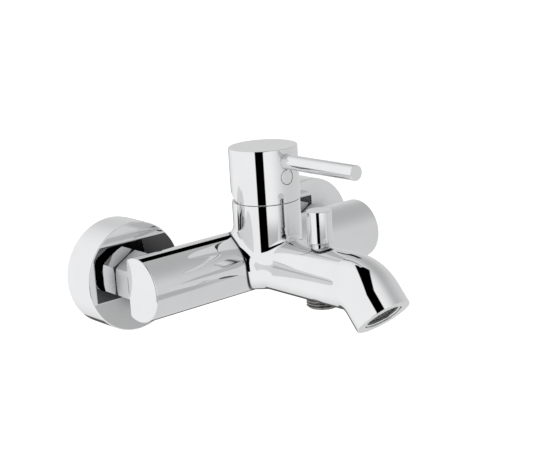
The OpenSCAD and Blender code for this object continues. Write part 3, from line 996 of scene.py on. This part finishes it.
@dataclass(frozen=True)
class Thread:
    """A whitworth pipe thread: rounded ridges on a helix."""

    crest_r: float
    root_r: float
    pitch: float = 1.814

    def radius(self, height: Array, angle: Array) -> Array:
        """Gives mean + swing cos(2 pi (h / pitch - a / 2 pi)), which is the ridge's radius."""
        phase = 2 * np.pi * height / self.pitch - angle
        middle, swing = (self.crest_r + self.root_r) / 2, (self.crest_r - self.root_r) / 2
        wave = np.cos(phase)
        return middle + swing * wave * (1.25 - 0.25 * wave * wave)

    def wall(
        self, shell: Shell, axes: Axes, low: float, high: float, lead: float, lead_r: float
    ) -> tuple[Array, Array]:
        """Adds the threaded wall between two heights.

        The radius is the lesser of the ridge and a cone that rises from lead_r at the low end.

        Args:
            shell: the surface.
            axes: frame with w along the thread.
            low: lower height.
            high: upper height.
            lead: length of the cone.
            lead_r: its radius at the low end.
        Returns:
            The radius of the wall at its low and at its high end, one for each angle.
        """
        angle = around(120)[None]
        rows = int(np.ceil((high - low) / self.pitch * 14)) + 1
        height = np.linspace(low, high, rows)[:, None] + 0 * angle
        cone = lead_r + (self.crest_r - lead_r) * (height - low) / lead
        r = np.minimum(self.radius(height, angle), np.maximum(cone, 0.0))
        points = axes.ring(r, angle, height)
        spine = axes.place(0 * r, 0 * r, height)
        shell.grid(points, grid_normals(points, spine))
        return r[0], r[-1]


def end_face(
    shell: Shell, axes: Axes, outer: Array, inner: float, height: float, facing: int
) -> None:
    """Adds a flat ring from an uneven outer radius to a round inner one.

    Args:
        shell: the surface.
        axes: frame with w along the axis.
        outer: outer radius for each of the equally spaced angles.
        inner: inner radius.
        height: height of the ring.
        facing: 1 if it faces along w, -1 if against it.
    """
    angle = around(len(outer))
    r = np.stack([outer, np.full_like(outer, inner)])
    shell.grid(
        axes.ring(r, angle, np.full_like(r, height)),
        facing * axes.w,
    )


def polygon(
    sides: int, flat_r: float, rounding: float, turn: float, per_side: int
) -> tuple[Array, Array]:
    """Gives a regular polygon's outline with rounded corners and points along its flats.

    Args:
        sides: number of sides.
        flat_r: distance from the middle to a flat.
        rounding: radius at the corners.
        turn: angle of the first corner.
        per_side: points along each flat.
    Returns:
        Points and outward normals, each (n, 2), not repeated at the end.
    """
    angles = turn + around(sides)
    reach = flat_r / np.cos(np.pi / sides)
    corners = [(reach * np.cos(a), reach * np.sin(a), rounding) for a in angles]
    points, normals = fillet(corners, hollow_shade=True, steps=4)
    points, normals = points[:-1], normals[:-1]
    gap = np.linalg.norm(np.roll(points, -1, axis=0) - points, axis=1)
    copies = np.where(gap > 2 * rounding, per_side, 1)
    start = np.repeat(np.arange(len(points)), copies)
    share = (np.arange(len(start)) - np.repeat(np.cumsum(copies) - copies, copies)) / np.repeat(
        copies, copies
    )
    after = (start + 1) % len(points)
    mix = share[:, None]
    return (
        (1 - mix) * points[start] + mix * points[after],
        unit((1 - mix) * normals[start] + mix * normals[after]),
    )


@dataclass
class WallConnection:
    """One side's rosette, eccentric coupling and union nut."""

    maker: Maker
    side: int
    rosette_r: float = 34.4
    rosette_depth: float = 24.6
    rosette_wall: float = 1.0
    hole_r: float = 13.6
    nut_flat_r: float = 15.0
    nut_back: float = 25.2
    nut_front: float = 38.0
    nut_face_r: float = 15.72
    nut_bore_r: float = 10.2
    nut_thread_r: float = 13.25
    nut_shoulder: float = 35.5
    coupling_back: float = -14.0
    coupling_front: float = 31.5
    bore_r: float = 7.0
    tail_r: float = 9.0
    plate_span: tuple[float, float] = (2.0, 12.0)
    plate_r: float = 20.0

    def name(self, base: str) -> str:
        """Gives a CAD node's name with this side's ending."""
        return f"{base}_{'left' if self.side < 0 else 'right'}"

    def axes(self, height: float) -> Axes:
        """Gives the frame on the wall at this inlet, w running out from the wall."""
        return outward(self.side * self.maker.datum.inlet_x, 0.0, height)

    def rosette(self) -> None:
        """Builds the deep round cover, a thin pressed shell that is open towards the wall."""
        r, depth, wall = self.rosette_r, self.rosette_depth, self.rosette_wall
        profile = fillet([
            (r - wall, 0.0, 0.3), (r, 0.0, 0.3), (r, depth, 0.7), (self.hole_r, depth, 0.35),
            (self.hole_r, depth - wall, 0.35), (r - wall, depth - wall, 0.3),
        ], hollow_shade=True, steps=8)
        node, axes = self.name("rosette"), self.axes(self.maker.datum.rise)
        self.maker.turned(axes, profile, 256, f"{node}_cover", Body.MIXER, node)

    def nut(self) -> None:
        """Builds the hexagon nut with its corners cut back by a cone at both ends."""
        axes = self.axes(self.maker.datum.rise)
        outline, normals = polygon(6, self.nut_flat_r, 0.6, np.pi / 6, 14)
        r = np.linalg.norm(outline, axis=1)
        a = np.arctan2(outline[:, 1], outline[:, 0])
        lean = 0.75
        face_r = np.minimum(r, self.nut_face_r)
        front = self.nut_front - lean * (r - face_r)
        back = self.nut_back + lean * (r - face_r)
        shell = Shell()

        def ring(radius: Array | float, height: Array | float) -> Array:
            radius, height = radius + 0 * r, height + 0 * r
            return axes.ring(radius, a, height)

        def band(first: Array, last: Array, normal: Array) -> None:
            shell.grid(np.stack([first, last]), normal)

        spoke = axes.turn(np.cos(a), np.sin(a), 0 * a)
        cone = unit(spoke * lean + axes.w)
        band(ring(self.nut_bore_r, self.nut_front), ring(face_r, self.nut_front), axes.w)
        band(ring(face_r, self.nut_front), ring(r, front), cone)
        band(ring(r, front), ring(r, back), axes.turn(normals[:, 0], normals[:, 1], 0 * a))
        band(ring(r, back), ring(face_r, self.nut_back), unit(spoke * lean - axes.w))
        band(ring(face_r, self.nut_back), ring(self.nut_thread_r, self.nut_back), -axes.w)
        band(ring(self.nut_thread_r, self.nut_back), ring(self.nut_thread_r, self.nut_shoulder),
             -spoke)
        band(ring(self.nut_thread_r, self.nut_shoulder), ring(self.nut_bore_r, self.nut_shoulder),
             -axes.w)
        band(ring(self.nut_bore_r, self.nut_shoulder), ring(self.nut_bore_r, self.nut_front),
             -spoke)
        node = self.name("union_nut")
        self.maker.finish(shell, f"{node}_hexagon", Slot.CHROME, Body.MIXER, node)

    def coupling(self) -> None:
        """Builds the eccentric coupling: wall thread, octagonal plate and nut thread."""
        rise = self.maker.datum.rise
        shell = Shell()
        wall_axes = self.axes(0.0)
        low_r, high_r = Thread(10.48, 9.32).wall(
            shell, wall_axes, self.coupling_back, 3.0, 1.2, 9.2
        )
        bore = fillet([
            (0.0, -6.0, 0.0), (self.bore_r, -6.0, 0.2), (self.bore_r, self.coupling_back, 0.0)
        ])
        shell.revolve(wall_axes, bore, around(120))
        end_face(shell, wall_axes, low_r, self.bore_r, self.coupling_back, -1)
        end_face(shell, wall_axes, high_r, 0.0, 3.0, 1)
        outline, normals = polygon(8, self.plate_r * np.cos(np.pi / 8), 0.5, 0.0, 2)
        plate_axes = self.axes(rise / 2)
        back, front = self.plate_span
        stages = fillet([(1.0, back, 0.0), (0.0, back, 0.5), (0.0, front, 0.5), (1.0, front, 0.0)])
        inset, height = stages[0][:, :1], stages[0][:, 1:]
        flat = np.ones(len(outline))
        points = plate_axes.place(
            outline[None, :, 0] - inset * normals[None, :, 0],
            outline[None, :, 1] - inset * normals[None, :, 1], height * flat,
        )
        lean, rise_n = -stages[1][:, :1], stages[1][:, 1:]
        shell.grid(points, plate_axes.turn(
            lean * normals[None, :, 0], lean * normals[None, :, 1], rise_n * flat
        ))
        shell.lid(points[0], -plate_axes.w)
        shell.lid(points[-1], plate_axes.w)
        nut_axes = self.axes(rise)
        flipped = Axes(nut_axes.origin, nut_axes.u, nut_axes.v, -nut_axes.w)
        end = -self.coupling_front
        low_r, high_r = Thread(13.2, 12.05).wall(shell, flipped, end, -11.0, 1.2, 12.0)
        end_face(shell, flipped, low_r, self.tail_r, end, -1)
        end_face(shell, flipped, high_r, 0.0, -11.0, 1)
        bore = fillet([(0.0, -24.0, 0.0), (self.tail_r, -24.0, 0.2), (self.tail_r, end, 0.0)])
        shell.revolve(flipped, bore, around(120))
        node = self.name("s_union")
        self.maker.finish(shell, f"{node}_coupling", Slot.BRASS, Body.MIXER, node)

    def build(self) -> None:
        """Builds this side's three pieces."""
        self.rosette()
        self.nut()
        self.coupling()


# ---- Lever ----


@dataclass
class Lever:
    """The lever cap with its rod and index plug, and the dome under the cap."""

    maker: Maker
    cap_r: float = 21.7
    joint_h: float = 40.9
    top_h: float = 74.8
    cavity_r: float = 19.0
    roof_h: float = 61.4
    boss_r: float = 8.0
    boss_h: float = 54.0
    relief: float = 25.0
    rod_r: float = 4.65
    rod_h: float = 66.7
    rod_end_out: float = 149.2
    rod_seat: float = 3.0
    plug_r: float = 4.6
    plug_h: float = 57.1
    groove: float = 0.3
    window: float = 6.0
    dome_r: float = 18.7
    pivot_h: float = 46.0

    def axes(self) -> Axes:
        """Gives the frame on the column's axis at the height of the tube's axis."""
        return upright(0.0, self.maker.datum.column_y, self.maker.datum.rise)

    def wall_point(self, across: Array, height: Array, depth: Array | float) -> Array:
        """Gives points on the cap's wall.

        A point at arc length s from the front middle lies at angle s / r - 90 degrees.

        Args:
            across: arc length to the right of the front middle.
            height: height above the tube's axis.
            depth: depth below the wall's surface.
        Returns:
            Points (..., 3).
        """
        a = across / self.cap_r - np.pi / 2
        r = self.cap_r - depth
        return self.axes().ring(r, a, height + 0 * a)

    def cap(self) -> None:
        """Builds the cap, slanted at the back so that it clears the column when it tilts."""
        axes = self.axes()
        steps, span = 160, 8
        angle = around(steps)
        shell = Shell()
        pole_in = fillet([
            (0.0, self.boss_h, 0.0), (self.boss_r, self.boss_h, 0.3),
            (self.boss_r, self.roof_h, 0.5), (self.cavity_r, self.roof_h, 0.8),
            (self.cavity_r, self.joint_h, 0.2), (self.cap_r, self.joint_h, 0.3),
            (self.cap_r, self.plug_h - self.window, 0.0),
        ])
        pole_out = fillet([
            (self.cap_r, self.plug_h + self.window, 0.0), (self.cap_r, self.top_h, 0.55),
            (0.0, self.top_h, 0.0),
        ], steps=10)
        slant = np.tan(np.radians(self.relief))
        for points, normals in (pole_in, pole_out):
            r, h = points[:, :1], points[:, 1:] + 0 * angle
            back = np.maximum(r * np.sin(angle), 0.0)
            rim = (points[:, 1:] < self.joint_h + 1.0) & (points[:, :1] > self.boss_r + 1.0)
            h = np.where(rim, h + slant * back, h)
            nr, nh = normals[:, :1] + 0 * angle, normals[:, 1:] + 0 * angle
            lean = np.where(rim & (nh < -0.5) & (back > 1e-6), slant, 0.0)
            shell.grid(
                axes.ring(r, angle, h),
                unit(axes.turn(nr * np.cos(angle), nr * np.sin(angle) + lean, nh)),
            )
        self.window_band(shell, steps, span)
        self.maker.finish(shell, "cap_shell", Slot.CHROME, Body.LEVER, "lever_cap")

    def window_band(self, shell: Shell, steps: int, span: int) -> None:
        """Adds the band of wall that holds the recess for the index plug.

        The square window between its grid lines and the round recess is filled by
        straight lines from the square's edge to the circle.

        Args:
            shell: the cap's surface.
            steps: columns round the whole cap.
            span: columns of the window either side of the front middle.
        """
        pitch = 2 * np.pi * self.cap_r / steps
        half = span * pitch
        rows = np.linspace(-self.window, self.window, 13)
        plain = np.arange(span, steps - span + 1) * pitch
        across, height = np.meshgrid(plain, rows)
        band = self.wall_point(across, self.plug_h + height, 0.0)
        shell.grid(band, self.spokes(across), hollow_shade=False)
        side = np.arange(-span, span + 1) * pitch
        loop_s = np.concatenate([
            side[:-1], np.full(12, half), side[::-1][:-1], np.full(12, -half)
        ])
        loop_h = np.concatenate([
            np.full(2 * span, -self.window), rows[:-1],
            np.full(2 * span, self.window), rows[::-1][:-1],
        ])
        turn = np.arctan2(loop_h, loop_s)
        recess_r = self.plug_r + self.groove
        share = np.linspace(0.0, 1.0, 7)[:, None]
        flat_s = (1 - share) * loop_s + share * recess_r * np.cos(turn)
        flat_h = (1 - share) * loop_h + share * recess_r * np.sin(turn)
        shell.grid(
            self.wall_point(flat_s, self.plug_h + flat_h, 0.0), self.spokes(flat_s)
        )
        edge_s, edge_h = flat_s[-1][None], flat_h[-1][None]
        depth = np.array((0.0, 0.9))[:, None]
        inward = np.stack([-np.cos(turn), np.zeros_like(turn), -np.sin(turn)], -1)
        shell.grid(
            self.wall_point(edge_s + 0 * depth, self.plug_h + edge_h + 0 * depth, depth),
            inward[None],
        )
        fill = np.array((1.0, 0.5, 0.0))[:, None]
        shell.grid(
            self.wall_point(edge_s * fill, self.plug_h + edge_h * fill, 0.9),
            self.spokes(edge_s * fill),
        )

    def spokes(self, across: Array) -> Array:
        """Gives the outward direction of the cap's wall at an arc length from the front."""
        a = across / self.cap_r - np.pi / 2
        return self.axes().turn(np.cos(a), np.sin(a), 0 * a)

    def plug(self) -> None:
        """Builds the index plug, a disc whose face follows the cap's wall."""
        shell = Shell()
        angle = around(96)[None]
        edge = 0.3
        lean = np.linspace(0.0, np.pi / 2, 7)
        radius = np.concatenate([np.linspace(0.0, self.plug_r - edge, 6),
                                 self.plug_r - edge + edge * np.sin(lean[1:]), [self.plug_r]])
        depth = np.concatenate([np.zeros(6), edge * (1 - np.cos(lean[1:])), [1.2]])
        tilt = np.concatenate([np.zeros(6), lean[1:], [np.pi / 2]])
        s, h = radius[:, None] * np.cos(angle), radius[:, None] * np.sin(angle)
        points = self.wall_point(s, self.plug_h + h, depth[:, None])
        rim = np.stack([np.cos(angle), 0 * angle, np.sin(angle)], -1)
        normals = (
            np.cos(tilt)[:, None, None] * self.spokes(s) + np.sin(tilt)[:, None, None] * rim
        )
        shell.grid(points, normals)
        share = np.array((1.0, 0.5, 0.0))[:, None]
        shell.grid(
            self.wall_point(s[-1][None] * share, self.plug_h + h[-1][None] * share, 1.2),
            -self.spokes(s[-1][None] * share),
        )
        self.maker.finish(shell, "index_button", Slot.CHROME, Body.LEVER, "index_plug")

    def rod(self) -> None:
        """Builds the lever rod from its seat in the cap to its free end."""
        datum = self.maker.datum
        seat = -datum.column_y + self.cap_r - self.rod_seat
        profile = fillet([
            (0.0, seat, 0.0), (self.rod_r, seat, 0.2),
            (self.rod_r, self.rod_end_out, 0.45), (0.0, self.rod_end_out, 0.0),
        ], steps=10)
        axes = outward(0.0, 0.0, datum.rise + self.rod_h)
        self.maker.turned(axes, profile, 128, "lever_bar", Body.LEVER, "lever_rod")

    def dome(self) -> None:
        """Builds the round cover that shows in the gap behind the raised cap."""
        shell = Shell()
        axes = self.axes()
        low, high = 41.0 - self.pivot_h, 52.5 - self.pivot_h
        ends = []
        for r, facing in ((self.dome_r, 1), (self.dome_r - 1.0, -1)):
            a = np.linspace(np.arcsin(low / r), np.arcsin(high / r), 17)
            circle = np.stack([np.cos(a), np.sin(a)], -1)
            shell.revolve(axes, (circle * r + (0.0, self.pivot_h), circle * facing), around(160))
            ends.append(circle[[0, -1]] * r + (0.0, self.pivot_h))
        for which, facing in ((0, -1.0), (1, 1.0)):
            ring = np.stack([ends[0][which], ends[1][which]])
            shell.revolve(axes, (ring, np.array([[0.0, facing]] * 2)), around(160))
        self.maker.finish(shell, "dome_cover", Slot.CHROME, Body.MIXER, "cartridge_dome")

    def build(self) -> None:
        """Builds the four pieces."""
        self.cap()
        self.plug()
        self.rod()
        self.dome()


# ---- Diverter and outlets ----


@dataclass
class Diverter:
    """The diverter's knob and bonnet, and the threaded shower outlet below them."""

    maker: Maker
    knob_r: float = 7.8
    knob_h: float = 20.4
    knob_length: float = 19.6
    bonnet_r: float = 5.6
    nipple: Thread = Thread(10.48, 9.45)
    nipple_low_h: float = -20.4
    nipple_high_h: float = -11.5

    def axes(self) -> Axes:
        """Gives the frame on the diverter's axis at the height of the tube's axis."""
        return upright(0.0, self.maker.datum.diverter_y, self.maker.datum.rise)

    def knob(self) -> None:
        """Builds the plain round knob with softened edges and a hollow for the rod."""
        r, low, high = self.knob_r, self.knob_h, self.knob_h + self.knob_length
        profile = fillet([
            (0.0, low + 3.0, 0.0), (2.1, low + 3.0, 0.1), (2.1, low, 0.15), (r, low, 0.4),
            (r, high, 0.55), (0.0, high, 0.0),
        ], steps=10)
        self.maker.turned(
            self.axes(), profile, 160, "pull_knob", Body.DIVERTER, "diverter_knob"
        )

    def bonnet(self) -> None:
        """Builds the collar that guides the rod out of the spout."""
        top = self.knob_h - 0.3
        profile = fillet([
            (2.1, 13.0, 0.1), (self.bonnet_r, 13.0, 0.1), (self.bonnet_r, top, 0.4),
            (2.1, top, 0.2),
        ], hollow_shade=True)
        self.maker.turned(self.axes(), profile, 128, "collar", Body.MIXER, "diverter_bonnet")

    def outlet(self) -> None:
        """Builds the threaded nipple with its bore."""
        shell, axes = Shell(), self.axes()
        low, high = self.nipple_low_h, self.nipple_high_h
        low_r, high_r = self.nipple.wall(shell, axes, low, high, 1.3, 9.0)
        end_face(shell, axes, low_r, 7.5, low, -1)
        end_face(shell, axes, high_r, 0.0, high, 1)
        bore = fillet([(0.0, high - 0.7, 0.0), (7.5, high - 0.7, 0.3), (7.5, low, 0.0)])
        shell.revolve(axes, bore, around(120))
        self.maker.finish(shell, "shower_thread", Slot.NICKEL, Body.MIXER, "shower_nipple")

    def build(self) -> None:
        """Builds the three pieces."""
        self.knob()
        self.bonnet()
        self.outlet()


@dataclass
class Aerator:
    """The aerator's round housing inside the outlet."""

    maker: Maker
    axes: Axes
    outer_r: float = 12.0
    inner_r: float = 10.2
    recess: float = 0.8
    length: float = 7.0

    def build(self) -> None:
        """Builds the housing, a ring with a rounded mouth and a lip behind the insert."""
        front, back = -self.recess, -self.recess - self.length
        profile = fillet([
            (9.4, back, 0.1), (self.outer_r, back, 0.2), (self.outer_r, front, 0.35),
            (self.inner_r, front, 0.5), (self.inner_r, back + 1.2, 0.1), (9.4, back + 1.2, 0.1),
        ], hollow_shade=True)
        self.maker.turned(
            self.axes, profile, 160, "aerator_ring", Body.MIXER, "aerator_housing"
        )


# ---- Studio ----


@dataclass(frozen=True)
class Flag:
    """A dark patch of the studio surround, bounded by planes through its middle.

    Each plane is (x, y, z, level), and the patch is where d . (x, y, z) is above level.
    """

    planes: tuple[tuple[float, float, float, float], ...]
    depth: float = 1.0
    soft: float = 0.02

    def mask(self, nodes: Nodes, way: bpy.types.NodeSocket) -> bpy.types.NodeSocket:
        """Gives depth inside the patch and 0 outside, as a product of smooth steps.

        Args:
            nodes: the surround's node graph.
            way: unit direction from the middle of the surround.
        Returns:
            The mask.
        """
        level = nodes.math("ADD", 0.0, self.depth)
        for *across, edge in self.planes:
            step = nodes.ramp(
                nodes.dot(way, across), edge - self.soft, edge + self.soft, 0.0, 1.0
            )
            level = nodes.math("MULTIPLY", level, step)
        return level


@dataclass
class Studio:
    """Pale floor, soft surround and even light."""

    radius: float = 4.0
    floor_drop: float = 0.35
    light: float = 1.2
    glow: float = 0.965
    side_fall: float = 0.28
    top_fall: float = 0.22
    inner_front: float = 0.84
    inner_fall: float = 0.25
    inner_back: float = 0.1
    third_fall: float = 0.75
    front_strip: Flag = Flag(
        ((0.588, -0.809, 0.0, -0.225), (-0.588, 0.809, 0.0, -0.235),
         (-0.663, -0.482, 0.574, 0.42))
    )
    back_strip: Flag = Flag(
        ((0.0, -0.574, 0.819, 0.0), (0.0, 0.875, -0.485, 0.0), (1.0, 0.0, 0.0, 0.5),
         (-1.0, 0.0, 0.0, -0.61)), soft=0.008
    )
    low_front: Flag = Flag(
        ((1.0, 0.0, 0.0, 0.46), (-1.0, 0.0, 0.0, -0.575), (0.0, -1.0, 0.0, 0.7),
         (0.0, 0.0, -1.0, 0.235)), depth=0.3, soft=0.03
    )
    front_panel: Flag = Flag(
        ((0.0, 0.0, -1.0, 0.228), (0.0, 0.0, 1.0, -0.6), (0.766, -0.643, 0.0, -0.01),
         (-0.98, -0.2, 0.0, 0.05)), depth=0.45, soft=0.01
    )
    low_back: Flag = Flag(((0.5, 0.76, -0.41, 0.95),), depth=0.85, soft=0.01)

    def surround_material(self) -> bpy.types.Material:
        """Makes the surround's glow, darker towards the right and above, with its patches.

        A reflection of a reflection sees a plainer surround: bright in front and dark
        behind, as between the mixer and a wall.

        Returns:
            The material.
        """
        material = bpy.data.materials.new("surround")
        nodes = Nodes(material)
        place = nodes.add("ShaderNodeTexCoord").outputs["Object"]
        norm = nodes.add("ShaderNodeVectorMath", operation="NORMALIZE")
        nodes.join(place, norm.inputs[0])
        way = norm.outputs["Vector"]
        right = nodes.dot(way, (1.0, 0.0, 0.0))
        high = nodes.dot(way, (0.0, 0.0, 1.0))
        level = nodes.math("ADD", nodes.ramp(right, -0.4, 0.6, 0.0, -self.side_fall), self.glow)
        above = nodes.math(
            "MULTIPLY", nodes.ramp(high, 0.2, 0.9, 0.0, self.top_fall),
            nodes.ramp(right, 0.0, 0.6),
        )
        level = nodes.math("SUBTRACT", level, above)
        for flag in (self.front_strip, self.back_strip, self.front_panel, self.low_front,
                     self.low_back):
            kept = nodes.math("SUBTRACT", 1.0, flag.mask(nodes, way))
            level = nodes.math("MULTIPLY", level, kept)
        inner = nodes.math(
            "MULTIPLY", nodes.ramp(nodes.dot(way, (0.0, 0.85, -0.53)), 0.3, 0.6),
            nodes.ramp(right, 0.2, 0.4),
        )
        inner = nodes.ramp(inner, 0.0, 1.0, self.inner_front, self.inner_back)
        raised = nodes.math(
            "MULTIPLY", nodes.ramp(high, 0.1, 0.3, 0.0, self.inner_fall),
            nodes.ramp(nodes.dot(way, (0.0, -1.0, 0.0)), 0.35, 0.55),
        )
        inner = nodes.math("SUBTRACT", inner, raised)
        bounce = nodes.add("ShaderNodeLightPath").outputs["Ray Depth"]
        deep = nodes.math("GREATER_THAN", bounce, 1.5)
        third = nodes.math(
            "MULTIPLY", nodes.ramp(bounce, 2.4, 2.6, 0.0, self.third_fall),
            nodes.ramp(right, 0.1, 0.3),
        )
        inner = nodes.math("MULTIPLY", inner, nodes.math("SUBTRACT", 1.0, third))
        level = nodes.math(
            "ADD", nodes.math("MULTIPLY", level, nodes.math("SUBTRACT", 1.0, deep)),
            nodes.math("MULTIPLY", inner, deep),
        )
        glow = nodes.add("ShaderNodeEmission")
        nodes.join(level, glow.inputs["Strength"])
        output = nodes.add("ShaderNodeOutputMaterial")
        nodes.join(glow.outputs["Emission"], output.inputs["Surface"])
        return material

    def sheet(self, name: str, points: Array, rows: int) -> bpy.types.Object:
        """Makes a stage mesh from a grid of points in metres."""
        columns = points.shape[1]
        ids = np.arange(rows * columns).reshape(rows, columns)
        quads = np.stack([ids[:-1, :-1], ids[:-1, 1:], ids[1:, 1:], ids[1:, :-1]], -1)
        mesh = bpy.data.meshes.new(name)
        mesh.from_pydata(points.reshape(-1, 3).tolist(), [], quads.reshape(-1, 4).tolist())
        mesh.shade_smooth()
        piece = bpy.data.objects.new(name, mesh)
        bpy.context.scene.collection.objects.link(piece)
        return piece

    def build(self) -> None:
        """Builds the floor, the surround that only reflections see, and the world's light."""
        up, turn = np.linspace(-np.pi / 2, np.pi / 2, 49), np.linspace(0, 2 * np.pi, 97)
        lat, lon = np.meshgrid(up, turn, indexing="ij")
        ball = np.stack([np.cos(lat) * np.cos(lon), np.cos(lat) * np.sin(lon), np.sin(lat)], -1)
        surround = self.sheet("surround", ball * self.radius, 49)
        surround.data.materials.append(self.surround_material())
        surround.visible_camera = surround.visible_diffuse = False
        surround.visible_shadow = surround.visible_transmission = False
        surround.visible_volume_scatter = False
        span = np.linspace(-3.0, 3.0, 5)
        y, x = np.meshgrid(span, span, indexing="ij")
        level = CAD_BOX[0][2] - self.floor_drop
        floor = self.sheet("floor", np.stack([x, y, np.full_like(x, level)], -1), 5)
        floor.visible_glossy = False
        paint = bpy.data.materials.new("floor_paint")
        nodes = Nodes(paint)
        shader = nodes.add("ShaderNodeBsdfPrincipled")
        shader.inputs["Base Color"].default_value = (0.95, 0.95, 0.95, 1.0)
        shader.inputs["Roughness"].default_value = 0.9
        output = nodes.add("ShaderNodeOutputMaterial")
        nodes.join(shader.outputs["BSDF"], output.inputs["Surface"])
        floor.data.materials.append(paint)
        world = bpy.data.worlds.new("studio_light")
        world.use_nodes = True
        world.node_tree.nodes["Background"].inputs["Color"].default_value = (1, 1, 1, 1)
        world.node_tree.nodes["Background"].inputs["Strength"].default_value = self.light
        bpy.context.scene.world = world
        LOG.info("studio: floor at %.3f m", level)


@dataclass
class Viewer:
    """The camera, in front of the mixer, to its left and a little above it."""

    place: tuple[float, float, float] = (-520.9, -687.0, 234.3)
    right: tuple[float, float, float] = (0.75113, -0.65742, -0.05993)
    up: tuple[float, float, float] = (0.20272, 0.14331, 0.96870)
    back: tuple[float, float, float] = (-0.62826, -0.73977, 0.24091)
    lens: float = 86.32

    def build(self) -> None:
        """Makes the camera and the plain view transform."""
        camera = bpy.data.cameras.new("viewer")
        camera.sensor_width, camera.sensor_fit, camera.lens = 36.0, "HORIZONTAL", self.lens
        camera.clip_start, camera.clip_end = 0.01, 50.0
        piece = bpy.data.objects.new("viewer", camera)
        bpy.context.scene.collection.objects.link(piece)
        turn = Matrix((self.right, self.up, self.back)).transposed()
        piece.matrix_world = Matrix.Translation(Vector(self.place) * MM) @ turn.to_4x4()
        scene = bpy.context.scene
        scene.camera = piece
        scene.view_settings.view_transform = "Standard"
        scene.view_settings.look = "None"


def main() -> None:
    """Builds the studio and every sub-assembly."""
    logging.basicConfig(level=logging.INFO, format="%(name)s: %(message)s")
    Viewer().build()
    Studio().build()
    finishes = Finishes()
    finishes.build()
    maker = Maker(Datum.read(), finishes)
    casting = Casting(maker)
    casting.build()
    for side in (-1, 1):
        WallConnection(maker, side).build()
    Lever(maker).build()
    Diverter(maker).build()
    Aerator(maker, casting.outlet_axes()).build()


if __name__ == "__main__":
    main()
